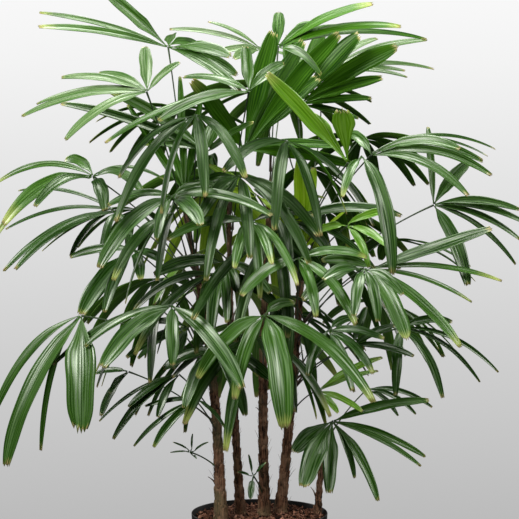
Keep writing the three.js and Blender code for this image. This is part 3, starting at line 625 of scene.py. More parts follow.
class Growth:
    """Grows every frond by the rule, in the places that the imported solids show."""

    STALK_CHECKS = np.array([0.4, 0.6, 0.8])

    def __init__(self) -> None:
        """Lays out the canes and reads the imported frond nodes."""
        self.canes = [Cane(*row) for row in CANES]
        names = sorted(name for name in frame["nodes"] if name.startswith("frond_"))
        self.packed = {name: PackedNode(name) for name in names}
        self.free_names = names
        self.fronds: list[Frond] = []

    def inner_rows(self) -> list:
        """Lays out the fronds inside the crown.

        Returns:
            Their rows, as in the table, each with the cane that is nearest to its hub.
        """
        rows = []
        for number in range(INNER_COUNT):
            turn = math.radians(INNER_TURN * number)
            out = (number * INNER_STRIDE % INNER_COUNT) / INNER_COUNT
            reach = mix(INNER_NEAR, INNER_FAR, out)
            height = mix(INNER_LOW, INNER_HIGH, number / (INNER_COUNT - 1))
            hub = np.array([CLUMP[0] + reach * math.cos(turn), CLUMP[1] + reach * math.sin(turn), height])
            foot = height - INNER_BELOW_HUB
            beside = [cane.at_height(min(foot, cane.tip[2]))[0] for cane in self.canes[:TALL_CANES]]
            away = [np.linalg.norm(place - hub) for place in beside]
            rows.append((int(np.argmin(away)), foot, hub, INNER_TURN * number, INNER_TILT, INNER_WIDTH,
                         INNER_ARCH, INNER_SPRAY))
        return rows

    def plan(self, row: tuple, number: int) -> Frond:
        """Makes the frond of a row, not yet grown.

        Args:
            row: the row, as in the table.
            number: the frond's number.

        Returns:
            The frond.
        """
        mate = self.fronds[row[8] - 1] if len(row) > 8 else None
        hub = np.array(row[2], float)
        return Frond(number, self.canes[row[0]], row[1], hub, *row[3:8], mate=mate)

    def stalk_of(self, frond: Frond, packed: PackedNode) -> Arc:
        """Finds the way that a frond's stalk took.

        Args:
            frond: the frond, with its mate where it forks off one.
            packed: the solid that holds it.

        Returns:
            The stalk's middle line.
        """
        if frond.mate:
            starts = [frond.mate.fork_point()]
        else:
            starts = [frond.cane.at_height(frond.foot + shift)[0] for shift in FOOT_SHIFTS]
        ways = [frond.stalk_way(start, swing) for start in starts for swing in STALK_SWINGS]

        def misfit(way: Arc) -> float:
            """Returns how far the way's points stand off the solid's skin."""
            return sum(abs(packed.distance(point) - STALK_RADIUS) for point in way.spaced(self.STALK_CHECKS))

        return min(ways, key=misfit)

    def grow(self, frond: Frond) -> None:
        """Gives a frond its stalk and those leaflets that its solid has.

        Args:
            frond: the frond, which knows its node.
        """
        packed = self.packed[frond.node]
        frond.stalk = self.stalk_of(frond, packed)
        for number in range(len(frond.leaves)):
            for attempt in range(TRIES):
                blade = frond.leaflet(number, attempt)
                tip, side, normal = blade.middle[-1], blade.side[-1], blade.normal[-1]
                rise = normal * blade.half[-1] * BLADE_FOLD
                corners = [tip + side * blade.half[-1] + rise, tip - side * blade.half[-1] + rise]
                if packed.holds(corners + [tip - normal * BLADE_KEEL]):
                    frond.blades.append(blade)
                    break

    def grow_all(self) -> list[Frond]:
        """Grows the fronds of the table, then those inside the crown.

        Returns:
            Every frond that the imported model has.
        """
        for number, row in enumerate(FRONDS):
            frond = self.plan(row, number)
            frond.node = frond.mate.node if frond.mate else self.free_names.pop(0)
            self.grow(frond)
            self.fronds.append(frond)
        hosts = [frond for frond in self.fronds if not frond.mate]
        for inner, row in enumerate(self.inner_rows()):
            frond = self.plan(row, len(FRONDS) + inner)
            hub_top = frond.hub + frond.normal * HUB_RISE
            found = [host for host in hosts if self.packed[host.node].holds([hub_top])]
            if found:
                frond.mate = found[0]
                frond.node = found[0].node
                self.grow(frond)
                self.fronds.append(frond)
        return self.fronds


# ---- Meshes ----

# One size for all corners of a ring, or one for each.
Extent = np.ndarray | float


def turns_round(count: int) -> np.ndarray:
    """Returns even turns round a circle."""
    return np.arange(count) * math.tau / count


def ring(turns: np.ndarray, reach: Extent, height: Extent) -> np.ndarray:
    """Returns corners at turns about the upright axis, with a reach and height for all or for each."""
    return np.stack([np.cos(turns) * reach, np.sin(turns) * reach, np.zeros(len(turns)) + height], axis=-1)


def add_object(name: str, data: ID) -> Object:
    """Puts a new object into the scene.

    Args:
        name: the object's name.
        data: its mesh, camera or light.

    Returns:
        The object.
    """
    made = bpy.data.objects.new(name, data)
    bpy.context.scene.collection.objects.link(made)
    return made


def store(mesh: Mesh, name: str, values: np.ndarray) -> None:
    """Stores a number under a name for each corner of a mesh."""
    attribute = mesh.attributes.new(name, "FLOAT", "POINT")
    attribute.data.foreach_set("value", np.asarray(values, np.float32))


def report(piece: Object) -> None:
    """Logs a finished piece."""
    log.info("%s: %d faces", piece.name, len(piece.data.polygons))


def faces_of(*corners: np.ndarray) -> np.ndarray:
    """Returns four-sided faces from the numbers of their corners."""
    return np.stack(corners, axis=-1).reshape(-1, 4)


def spread(across: np.ndarray, along: np.ndarray) -> np.ndarray:
    """Returns the coordinates of a grid of corners, row by row."""
    v, u = np.meshgrid(along, across, indexing="ij")
    return np.stack([u, v], axis=-1).reshape(-1, 2)


@dataclass
class Skin:
    """The corners, four-sided faces, face coordinates and finish numbers of a mesh in the making."""

    points: np.ndarray
    quads: np.ndarray
    uvs: np.ndarray
    slots: np.ndarray

    def build(self, name: str, materials: list) -> Object:
        """Makes the mesh object.

        Args:
            name: the piece's name.
            materials: the finishes, in the order of the slot numbers.

        Returns:
            The new object at the origin, in metres.
        """
        mesh = bpy.data.meshes.new(name)
        mesh.vertices.add(len(self.points))
        mesh.vertices.foreach_set("co", (self.points * MM).astype(np.float32).ravel())
        count = len(self.quads)
        mesh.loops.add(count * 4)
        mesh.loops.foreach_set("vertex_index", self.quads.astype(np.int32).ravel())
        mesh.polygons.add(count)
        mesh.polygons.foreach_set("loop_start", np.arange(count, dtype=np.int32) * 4)
        mesh.polygons.foreach_set("material_index", self.slots.astype(np.int32))
        mesh.polygons.foreach_set("use_smooth", np.ones(count, bool))
        layer = mesh.uv_layers.new(name="surface")
        layer.data.foreach_set("uv", self.uvs[self.quads].astype(np.float32).ravel())
        for material in materials:
            mesh.materials.append(material)
        mesh.validate()
        mesh.update()
        return add_object(name, mesh)


def tube(rings: np.ndarray, closed_ends: bool = True) -> Skin:
    """Skins a row of rings.

    Args:
        rings: stations by corners by three, each ring turning counter-clockwise along the way.
        closed_ends: whether a middle point closes both ends.

    Returns:
        The skin, with its coordinates running round and along.
    """
    stations, around, _ = rings.shape
    row, turn = np.meshgrid(np.arange(stations - 1), np.arange(around), indexing="ij")
    here = row * around + turn
    beside = row * around + (turn + 1) % around
    quads = faces_of(here, beside, beside + around, here + around)
    points = rings.reshape(-1, 3)
    uvs = spread(np.arange(around) / around, np.arange(stations) / (stations - 1))
    if closed_ends:
        first, last = len(points), len(points) + 1
        points = np.vstack([points, rings[0].mean(axis=0), rings[-1].mean(axis=0)])
        uvs = np.vstack([uvs, [[0.5, 0], [0.5, 1]]])
        k = np.arange(0, around, 2)
        top = (stations - 1) * around
        low = faces_of(np.full_like(k, first), (k + 2) % around, k + 1, k)
        high = faces_of(np.full_like(k, last), top + k, top + k + 1, top + (k + 2) % around)
        quads = np.vstack([quads, low, high])
    return Skin(points, quads, uvs, np.zeros(len(quads), int))


# ---- Node trees ----

# What fills an input: a link from another node, or a value of its own.
Number = NodeSocket | float
Colour = NodeSocket | tuple


class Nodes:
    """A node tree being wired, with short words for what is done most."""

    def __init__(self, tree: NodeTree) -> None:
        """Takes the tree that the nodes go into."""
        self.tree = tree

    def put(self, socket: NodeSocket, value: object) -> None:
        """Fills an input socket.

        Args:
            socket: the input.
            value: a socket to link to it, or its own value; a colour gets its alpha here.
        """
        if isinstance(value, NodeSocket):
            self.tree.links.new(value, socket)
        else:
            socket.default_value = (*value, 1) if socket.type == "RGBA" else value

    def feed(self, node: Node, **values: object) -> None:
        """Fills inputs of a node by name, with underscores for spaces."""
        for key, value in values.items():
            self.put(node.inputs[key.replace("_", " ")], value)

    def add(self, kind: str, settings: dict | None = None, by_place: dict | None = None,
            **values: object) -> Node:
        """Adds a node.

        Args:
            kind: the node's type name.
            settings: properties of the node itself.
            by_place: inputs by their place in the node, for those that share a name.
            **values: inputs by name, as in feed.

        Returns:
            The new node.
        """
        node = self.tree.nodes.new(kind)
        for key, value in (settings or {}).items():
            setattr(node, key, value)
        for place, value in (by_place or {}).items():
            self.put(node.inputs[place], value)
        self.feed(node, **values)
        return node

    def group(self, tree: NodeTree, **values: object) -> Node:
        """Returns a shared pattern placed in this tree, with values of its own."""
        return self.add("ShaderNodeGroup", {"node_tree": tree}, **values)

    def place(self) -> NodeSocket:
        """Returns where a point lies on its object."""
        return self.add("ShaderNodeTexCoord").outputs["Object"]

    def surface(self) -> NodeSocket:
        """Returns where a point lies on its piece's own coordinates."""
        return self.add("ShaderNodeUVMap", {"uv_map": "surface"}).outputs[0]

    def parts(self, vector: NodeSocket) -> bpy_prop_collection:
        """Returns the parts of a vector."""
        return self.add("ShaderNodeSeparateXYZ", Vector=vector).outputs

    def stored(self, name: str) -> NodeSocket:
        """Returns the number that a mesh holds under a name."""
        return self.add("ShaderNodeAttribute", {"attribute_name": name}).outputs["Fac"]

    def math(self, operation: str, first: Number, second: Number = 0.0) -> NodeSocket:
        """Returns the result of a calculation with one or two values."""
        return self.add("ShaderNodeMath", {"operation": operation}, {0: first, 1: second}).outputs[0]

    def times(self, first: Number, second: Number) -> NodeSocket:
        """Returns the product of two values."""
        return self.math("MULTIPLY", first, second)

    def total(self, first: NodeSocket, *others: tuple[NodeSocket, float]) -> NodeSocket:
        """Adds values up.

        Args:
            first: the first value.
            *others: the other values, each with its weight.

        Returns:
            The sum.
        """
        for value, weight in others:
            first = self.math("ADD", first, self.times(value, weight))
        return first

    def ramp(self, value: Number, low: Number, high: Number, start: float = 0, end: float = 1) -> NodeSocket:
        """Returns a value moved from one range, low to high, to another, and kept inside that."""
        ends = {1: low, 2: high, 3: start, 4: end}
        return self.add("ShaderNodeMapRange", None, {0: value, **ends}).outputs[0]

    def blend(self, share: Number, first: Colour, second: Colour) -> NodeSocket:
        """Returns the colour that has a share of the second one and the rest of the first."""
        return self.add("ShaderNodeMix", {"data_type": "RGBA"}, {0: share, 6: first, 7: second}).outputs[2]

    def noise(self, place: NodeSocket, scale: Number, detail: float = 2, rough: float = 0.5) -> NodeSocket:
        """Returns the value of a cloud pattern at a place."""
        cloud = {"Vector": place, "Scale": scale, "Detail": detail, "Roughness": rough}
        return self.add("ShaderNodeTexNoise", **cloud).outputs[0]

    def bump(self, height: NodeSocket, depth: float, strength: float) -> NodeSocket:
        """Returns the normals of a relief of a depth in metres."""
        return self.add("ShaderNodeBump", Strength=strength, Distance=depth, Height=height).outputs[0]

    def random(self, seed: int, low: Number, high: Number) -> NodeSocket:
        """Returns a number drawn for each instance."""
        ends = {2: low, 3: high}
        return self.add("FunctionNodeRandomValue", {"data_type": "FLOAT"}, ends, Seed=seed).outputs[1]

    def random_turn(self, seed: int, low: tuple, high: tuple) -> NodeSocket:
        """Returns a rotation drawn for each instance."""
        ends = {0: low, 1: high}
        return self.add("FunctionNodeRandomValue", {"data_type": "FLOAT_VECTOR"}, ends, Seed=seed).outputs[0]

    def deliver(self, result: Node, shape: NodeSocket, material: Material) -> None:
        """Ends a Geometry Nodes tree with real faces in one finish.

        Args:
            result: the tree's output node.
            shape: the geometry so far.
            material: the finish.
        """
        real = self.add("GeometryNodeRealizeInstances", Geometry=shape)
        done = self.add("GeometryNodeSetMaterial", Geometry=real.outputs[0], Material=material)
        self.put(result.inputs[0], done.outputs[0])


SHADER_TREE = "ShaderNodeTree"
GEOMETRY_TREE = "GeometryNodeTree"
SOCKETS = {float: "NodeSocketFloat", int: "NodeSocketInt", tuple: "NodeSocketVector"}


def node_group(kind: str, name: str, inputs: dict, outputs: tuple = ()) -> tuple[Nodes, Node, Node]:
    """Starts a node group with named inputs and outputs.

    Args:
        kind: the type of its tree; a geometry tree also takes and gives a geometry.
        name: the group's name.
        inputs: the names of its inputs, with their usual values.
        outputs: the names of the values that it puts out.

    Returns:
        The wiring helper, the group's input node and its output node.
    """
    tree = bpy.data.node_groups.new(name, kind)
    if kind == GEOMETRY_TREE:
        for way in ("INPUT", "OUTPUT"):
            tree.interface.new_socket("Geometry", in_out=way, socket_type="NodeSocketGeometry")
    for key, value in inputs.items():
        socket = tree.interface.new_socket(key, in_out="INPUT", socket_type=SOCKETS[type(value)])
        socket.default_value = value
    for key in outputs:
        tree.interface.new_socket(key, in_out="OUTPUT", socket_type="NodeSocketFloat")
    nodes = Nodes(tree)
    return nodes, nodes.add("NodeGroupInput"), nodes.add("NodeGroupOutput")


def apply_tree(source: Object, tree: NodeTree, values: dict, name: str) -> Object:
    """Runs a Geometry Nodes tree and keeps its result as a plain mesh.

    Args:
        source: the object that the tree works on; it is removed.
        tree: the node tree.
        values: its inputs by name.
        name: the name of the piece.

    Returns:
        The new object, with the result as its own mesh.
    """
    source.name = f"{name}_source"
    modifier = source.modifiers.new("grow", "NODES")
    modifier.node_group = tree
    for item in tree.interface.items_tree:
        if item.in_out == "INPUT" and item.name in values:
            modifier[item.identifier] = values[item.name]
    bpy.context.view_layer.update()
    evaluated = source.evaluated_get(bpy.context.evaluated_depsgraph_get())
    mesh = bpy.data.meshes.new_from_object(evaluated)
    source.modifiers.remove(modifier)
    bpy.data.objects.remove(source)
    mesh.name = name
    mesh.polygons.foreach_set("use_smooth", np.ones(len(mesh.polygons), bool))
    return add_object(name, mesh)


# ---- Finishes ----


class Patterns:
    """The shader node groups that several finishes share, each built once."""

    VEIN_CLOUD = (1.0, 1, 0.5)
    VEIN_EDGES = (0.34, 0.66)
    STREAK_CLOUD = (0.38, 2, 0.5)
    STREAK_EDGES = (0.38, 0.62)
    MOTTLE_EDGES = (0.3, 0.7)
    FINE_CLOUD = (4, 0.6)
    STRAND_CLOUD = (3, 0.65)
    STRAND_EDGES = (0.42, 0.60)
    PATCH_CLOUD = (45.0, 3, 0.6)
    PATCH_EDGES = (0.4, 0.62)

    def __init__(self) -> None:
        """Builds the groups."""
        self.ribs = self.build_ribs()
        self.mottle = self.build_mottle()
        self.fibre = self.build_fibre()

    def clouds(self, nodes: Nodes, sizes: tuple) -> bpy_prop_collection:
        """Returns broad and fine clouds, placed in a finish."""
        return nodes.group(self.mottle, Place=nodes.place(), Broad=sizes[0], Fine=sizes[1]).outputs

    def strands(self, nodes: Nodes, density: float) -> bpy_prop_collection:
        """Returns upright strands and the patches between them, placed in a finish."""
        return nodes.group(self.fibre, Place=nodes.place(), Density=density).outputs

    def build_ribs(self) -> NodeTree:
        """Builds the ribs, pleats, fine veins and broad streaks that run along a blade.

        Returns:
            The group. Its coordinates count ribs across the blade and go from 0 to 1 along it.
        """
        nodes, given, result = node_group(
            SHADER_TREE, "lengthwise_ribs",
            {"Surface": (0.0, 0.0, 0.0), "Tone": 0.5, "Sharpness": 0.6, "Veins": 1.7, "Drift": 2.5,
             "Shift": 40.0},
            ("Line", "Pleat", "Vein", "Streak"),
        )
        parts = nodes.parts(given.outputs["Surface"])
        wave = nodes.math("COSINE", nodes.times(parts["X"], math.tau))
        drawn = nodes.add(
            "ShaderNodeCombineXYZ",
            X=nodes.times(parts["X"], given.outputs["Veins"]),
            Y=nodes.times(parts["Y"], given.outputs["Drift"]),
            Z=nodes.times(given.outputs["Tone"], given.outputs["Shift"]),
        ).outputs[0]
        nodes.feed(
            result,
            Line=nodes.ramp(wave, given.outputs["Sharpness"], 1),
            Pleat=nodes.ramp(wave, -1, 1),
            Vein=nodes.ramp(nodes.noise(drawn, *self.VEIN_CLOUD), *self.VEIN_EDGES),
            Streak=nodes.ramp(nodes.noise(drawn, *self.STREAK_CLOUD), *self.STREAK_EDGES),
        )
        return nodes.tree

    def build_mottle(self) -> NodeTree:
        """Builds broad and fine clouds over a surface.

        Returns:
            The group.
        """
        nodes, given, result = node_group(
            SHADER_TREE, "mottle", {"Place": (0.0, 0.0, 0.0), "Broad": 8.0, "Fine": 60.0}, ("Broad", "Fine")
        )
        place, broad, fine = (given.outputs[key] for key in ("Place", "Broad", "Fine"))
        nodes.feed(
            result,
            Broad=nodes.ramp(nodes.noise(place, broad), *self.MOTTLE_EDGES),
            Fine=nodes.ramp(nodes.noise(place, fine, *self.FINE_CLOUD), *self.MOTTLE_EDGES),
        )
        return nodes.tree

    def build_fibre(self) -> NodeTree:
        """Builds upright fibres that run along a cane or a stalk, and the patches between them.

        Returns:
            The group.
        """
        nodes, given, result = node_group(
            SHADER_TREE, "upright_fibre", {"Place": (0.0, 0.0, 0.0), "Density": 900.0, "Stretch": 0.06},
            ("Strand", "Patch"),
        )
        place, density, stretch = (given.outputs[key] for key in ("Place", "Density", "Stretch"))
        parts = nodes.parts(place)
        squeezed = nodes.add("ShaderNodeCombineXYZ", X=parts["X"], Y=parts["Y"],
                             Z=nodes.times(parts["Z"], stretch)).outputs[0]
        nodes.feed(
            result,
            Strand=nodes.ramp(nodes.noise(squeezed, density, *self.STRAND_CLOUD), *self.STRAND_EDGES),
            Patch=nodes.ramp(nodes.noise(place, *self.PATCH_CLOUD), *self.PATCH_EDGES),
        )
        return nodes.tree


def new_material(name: str) -> tuple[Material, Nodes, Node]:
    """Starts a material.

    Args:
        name: the finish's name.

    Returns:
        The material, the helper that wires it, and its Principled shader.
    """
    material = bpy.data.materials.new(name)
    material.use_nodes = True
    nodes = Nodes(material.node_tree)
    shader = next(node for node in nodes.tree.nodes if node.type == "BSDF_PRINCIPLED")
    return material, nodes, shader


@dataclass(frozen=True)
class LeafFinish:
    """One side of a leaflet: ribbed and glossy above, paler and dull below, faded at the tip."""

    name: str
    deep: tuple
    light: tuple
    rib: tuple
    faded: tuple = (0.320, 0.370, 0.085)
    dry: tuple = (0.330, 0.240, 0.110)
    sheen: tuple = (0.40, 0.75, 0.20)
    # Painted pleat shading: how much lighter the pleats' crests are painted than their troughs.
    pleat_shading_weight: float = 0.20
    vein_weight: float = 0.40
    streak_weight: float = 0.34
    cloud_weight: float = 0.20
    tone_weight: float = 0.46
    clouds: tuple = (16.0, 120.0)
    streaks: tuple = (0.1, 0.9)
    fading_tones: tuple = (0.7, 1)
    shades: tuple = (0.3, 1.26)
    rib_shares: tuple = (0.10, 0.38)
    ragged: float = 0.05
    fade_starts: tuple = (0.985, 0.80)
    fade_end: float = 1.06
    dry_range: tuple = (1.0, 1.04)
    smooth: float = 0.26
    rough: float = 0.50
    gloss: float = 0.22
    wax: float = 1.0
    least_wax: float = 0.02
    vein_wax: float = 0.7
    streak_wax: float = 0.3
    wax_range: tuple = (0.2, 0.9)
    wax_roughness: float = 0.34
    wax_ior: float = 1.80
    rib_height: float = 0.5
    rib_depth: float = 0.0006
    vein_height: float = 0.2

    def build(self, patterns: Patterns) -> Material:
        """Builds the finish.

        Args:
            patterns: the shared node groups.

        Returns:
            The material.
        """
        material, nodes, shader = new_material(self.name)
        surface, tone = nodes.surface(), nodes.stored("tone")
        ribs = nodes.group(patterns.ribs, Surface=surface, Tone=tone)
        line, pleat, vein, streak = (ribs.outputs[key] for key in ("Line", "Pleat", "Vein", "Streak"))
        broad, _ = patterns.clouds(nodes, self.clouds)
        # The pleats' crests are painted lighter and their troughs darker, which is painted pleat shading,
        # mixed with the real veins, streaks, clouds and tone.
        shade = nodes.total(
            nodes.times(pleat, self.pleat_shading_weight), (vein, self.vein_weight), (streak, self.streak_weight),
            (broad, self.cloud_weight), (tone, self.tone_weight),
        )
        colour = nodes.blend(nodes.ramp(shade, *self.shades), self.deep, self.light)
        broken = nodes.times(line, nodes.ramp(streak, *self.streaks, *self.rib_shares))
        colour = nodes.blend(broken, colour, self.rib)
        along = nodes.parts(surface)["Y"]
        ragged = nodes.total(along, (vein, self.ragged))
        fading = nodes.ramp(tone, *self.fading_tones, *self.fade_starts)
        colour = nodes.blend(nodes.ramp(ragged, fading, self.fade_end), colour, self.faded)
        colour = nodes.blend(nodes.ramp(ragged, *self.dry_range), colour, self.dry)
        waxy = nodes.total(nodes.times(vein, self.vein_wax), (streak, self.streak_wax))
        nodes.feed(
            shader,
            Base_Color=colour,
            Roughness=nodes.ramp(vein, 0, 1, self.rough, self.smooth),
            Coat_Weight=nodes.ramp(waxy, *self.wax_range, self.least_wax, self.wax),
            Coat_Roughness=self.wax_roughness,
            Coat_IOR=self.wax_ior,
            Specular_IOR_Level=self.gloss,
            Specular_Tint=self.sheen,
            Normal=nodes.bump(nodes.total(pleat, (vein, self.vein_height)), self.rib_depth, self.rib_height),
        )
        return material


@dataclass(frozen=True)
class FibreFinish:
    """Fibrous brown sheaths on the canes, and the loose strands on them."""

    name: str
    dark: tuple
    brown: tuple
    straw: tuple
    density: float
    clouds: tuple = (25.0, 220.0)
    straw_share: float = 0.8
    moss: tuple = (0.085, 0.088, 0.042)
    moss_clouds: float = 15.0
    moss_edges: tuple = (0.5, 0.64)
    mossy: float = 0.0
    torn_from: float = 0.8
    torn_share: float = 0.7
    # Painted shade: how dark, and how far up, the recess at the foot of each sheath is painted.
    crevice_shade: float = 0.0
    crevice_shade_to: float = 0.16
    roughness: tuple = (0.8, 0.9)
    gloss: float = 0.12
    depth: float = 0.001
    relief: float = 0.7

    def build(self, patterns: Patterns) -> Material:
        """Builds the finish.

        Args:
            patterns: the shared node groups.

        Returns:
            The material.
        """
        material, nodes, shader = new_material(self.name)
        strand, patch = patterns.strands(nodes, self.density)
        broad, fine = patterns.clouds(nodes, self.clouds)
        colour = nodes.blend(strand, self.dark, self.brown)
        colour = nodes.blend(nodes.times(nodes.times(patch, broad), self.straw_share), colour, self.straw)
        green = nodes.ramp(nodes.noise(nodes.place(), self.moss_clouds), *self.moss_edges, 0, self.mossy)
        colour = nodes.blend(green, colour, self.moss)
        sleeve = nodes.stored("sleeve")
        torn = nodes.times(nodes.ramp(sleeve, self.torn_from, 1.0), strand)
        colour = nodes.blend(nodes.times(torn, self.torn_share), colour, self.straw)
        # The recess at the foot of each sheath, just above the lip of the one below, is painted dark: painted
        # shade.
        colour = nodes.blend(nodes.ramp(sleeve, 0.0, self.crevice_shade_to, self.crevice_shade, 0), colour, self.dark)
        nodes.feed(
            shader,
            Base_Color=colour,
            Roughness=nodes.ramp(fine, 0, 1, *self.roughness),
            Specular_IOR_Level=self.gloss,
            Normal=nodes.bump(nodes.math("ADD", strand, fine), self.depth, self.relief),
        )
        return material


@dataclass(frozen=True)
class StalkFinish:
    """Smooth green stalks, brown and fibrous where they leave the cane."""

    name: str
    green: tuple
    dark: tuple
    foot: tuple
    clouds: tuple = (20.0, 300.0)
    density: float = 700.0
    ragged: float = 0.08
    foot_range: tuple = (0.16, 0.28)
    roughness: tuple = (0.42, 0.6)
    depth: float = 0.0004
    relief: float = 0.3

    def build(self, patterns: Patterns) -> Material:
        """Builds the finish.

        Args:
            patterns: the shared node groups.

        Returns:
            The material.
        """
        material, nodes, shader = new_material(self.name)
        broad, fine = patterns.clouds(nodes, self.clouds)
        strand, _ = patterns.strands(nodes, self.density)
        colour = nodes.blend(broad, self.dark, self.green)
        along = nodes.parts(nodes.surface())["Y"]
        ragged = nodes.total(along, (strand, self.ragged))
        nodes.feed(
            shader,
            Base_Color=nodes.blend(nodes.ramp(ragged, *self.foot_range, 1, 0), colour, self.foot),
            Roughness=nodes.ramp(fine, 0, 1, *self.roughness),
            Normal=nodes.bump(strand, self.depth, self.relief),
        )
        return material


@dataclass(frozen=True)
class PotFinish:
    """Black moulded plastic with faint dust and scuffs."""

    name: str
    black: tuple
    dust: tuple
    clouds: tuple = (9.0, 420.0)
    dusty_from: float = 0.3
    most_dust: float = 0.5
    roughness: tuple = (0.45, 0.65)
    gloss: float = 0.15
    depth: float = 0.0003
    relief: float = 0.25

    def build(self, patterns: Patterns) -> Material:
        """Builds the finish.

        Args:
            patterns: the shared node groups.

        Returns:
            The material.
        """
        material, nodes, shader = new_material(self.name)
        broad, fine = patterns.clouds(nodes, self.clouds)
        dusty = nodes.times(broad, nodes.ramp(fine, self.dusty_from, 1, 0, self.most_dust))
        nodes.feed(
            shader,
            Base_Color=nodes.blend(dusty, self.black, self.dust),
            Roughness=nodes.ramp(dusty, 0, self.most_dust, *self.roughness),
            Specular_IOR_Level=self.gloss,
            Normal=nodes.bump(fine, self.depth, self.relief),
        )
        return material


@dataclass(frozen=True)
class BarkFinish:
    """Bark chips or the mix between them, each chip with a brown of its own."""

    name: str
    dark: tuple
    brown: tuple
    red: tuple
    speckle: float = 0.5
    clouds: tuple = (70.0, 420.0)
    worn: float = 0.25
    brown_range: tuple = (0.25, 0.8)
    red_range: tuple = (0.7, 1.15)
    roughness: tuple = (0.8, 0.95)
    gloss: float = 0.12
    depth: float = 0.0015
    relief: float = 0.8

    def build(self, patterns: Patterns) -> Material:
        """Builds the finish.

        Args:
            patterns: the shared node groups.

        Returns:
            The material.
        """
        material, nodes, shader = new_material(self.name)
        broad, fine = patterns.clouds(nodes, self.clouds)
        worn = nodes.total(nodes.stored("tone"), (broad, self.worn))
        colour = nodes.blend(nodes.ramp(worn, *self.brown_range), self.dark, self.brown)
        colour = nodes.blend(nodes.ramp(worn, *self.red_range), colour, self.red)
        nodes.feed(
            shader,
            Base_Color=nodes.blend(nodes.times(fine, self.speckle), colour, self.dark),
            Roughness=nodes.ramp(fine, 0, 1, *self.roughness),
            Specular_IOR_Level=self.gloss,
            Normal=nodes.bump(fine, self.depth, self.relief),
        )
        return material


class LeafTint(Enum):
    """The greens that are dealt out by frond, each with its upper and lower side; the shade tint is painted
    shade for the fronds inside the crown, and one tint is a painted sheen, paler and greyer.
    """

    SHADE = "shade"
    DEEP = "deep"
    MIDDLE = "middle"
    RICH = "rich"
    # Painted sheen: these fronds are painted paler and greyer, as if catching the light.
    SILVER = "silver"
    FRESH = "fresh"
    YOUNG = "young"


# The deep, light and rib colour of each tint.
UPPER_SIDES = {
    LeafTint.SHADE: ((0.001, 0.009, 0.000), (0.011, 0.042, 0.002), (0.034, 0.082, 0.010)),
    LeafTint.DEEP: ((0.001, 0.012, 0.000), (0.018, 0.071, 0.003), (0.058, 0.139, 0.025)),
    LeafTint.MIDDLE: ((0.002, 0.018, 0.000), (0.034, 0.106, 0.006), (0.090, 0.188, 0.036)),
    LeafTint.RICH: ((0.002, 0.026, 0.000), (0.040, 0.140, 0.001), (0.095, 0.220, 0.012)),
    # Painted sheen: pale grey-green upper sides.
    LeafTint.SILVER: ((0.030, 0.080, 0.016), (0.120, 0.200, 0.070), (0.200, 0.290, 0.130)),
    LeafTint.FRESH: ((0.030, 0.110, 0.001), (0.125, 0.285, 0.010), (0.200, 0.350, 0.060)),
    LeafTint.YOUNG: ((0.110, 0.240, 0.002), (0.260, 0.420, 0.012), (0.340, 0.480, 0.050)),
}
LOWER_SIDES = {
    LeafTint.SHADE: ((0.008, 0.040, 0.001), (0.026, 0.084, 0.004), (0.056, 0.126, 0.018)),
    LeafTint.DEEP: ((0.018, 0.068, 0.003), (0.056, 0.136, 0.014), (0.100, 0.190, 0.040)),
    LeafTint.MIDDLE: ((0.032, 0.098, 0.007), (0.090, 0.186, 0.030), (0.140, 0.246, 0.066)),
    LeafTint.RICH: ((0.022, 0.085, 0.002), (0.070, 0.180, 0.008), (0.125, 0.245, 0.030)),
    # Painted sheen: pale grey-green lower sides.
    LeafTint.SILVER: ((0.110, 0.170, 0.090), (0.230, 0.310, 0.195), (0.290, 0.380, 0.250)),
    LeafTint.FRESH: ((0.080, 0.160, 0.020), (0.180, 0.290, 0.060), (0.240, 0.350, 0.100)),
    LeafTint.YOUNG: ((0.140, 0.260, 0.012), (0.280, 0.420, 0.040), (0.340, 0.470, 0.080)),
}
# How waxy and how glossy the upper sides are.
PLAIN_SHEEN = (1.0, 0.22)
SHEENS = {LeafTint.SHADE: (0.35, 0.22), LeafTint.RICH: (0.35, 0.35), LeafTint.YOUNG: (0.3, 0.25)}
LOWER_SHEEN = {"smooth": 0.5, "rough": 0.65, "gloss": 0.15, "wax": 0.03}
# The fronds of each tint, by their place in the table and then among the inner ones. The other
# outer ones are deep, and the other inner ones in the shade.
TINTED_FRONDS = {
    LeafTint.MIDDLE: (1, 3, 4, 10, 11, 12, 17, 18, 21, 23, 24, 26, 28, 29, 30, 35, 41, 46, 49, 53),
    LeafTint.RICH: (5, 6, 7, 40),
    # These fronds carry the painted sheen.
    LeafTint.SILVER: (2, 8, 42),
    LeafTint.FRESH: (9, 15, 22, 61, 64, 74),
    LeafTint.YOUNG: (38, 39, 66, 69),
}

# ---- Parts of the plant ----


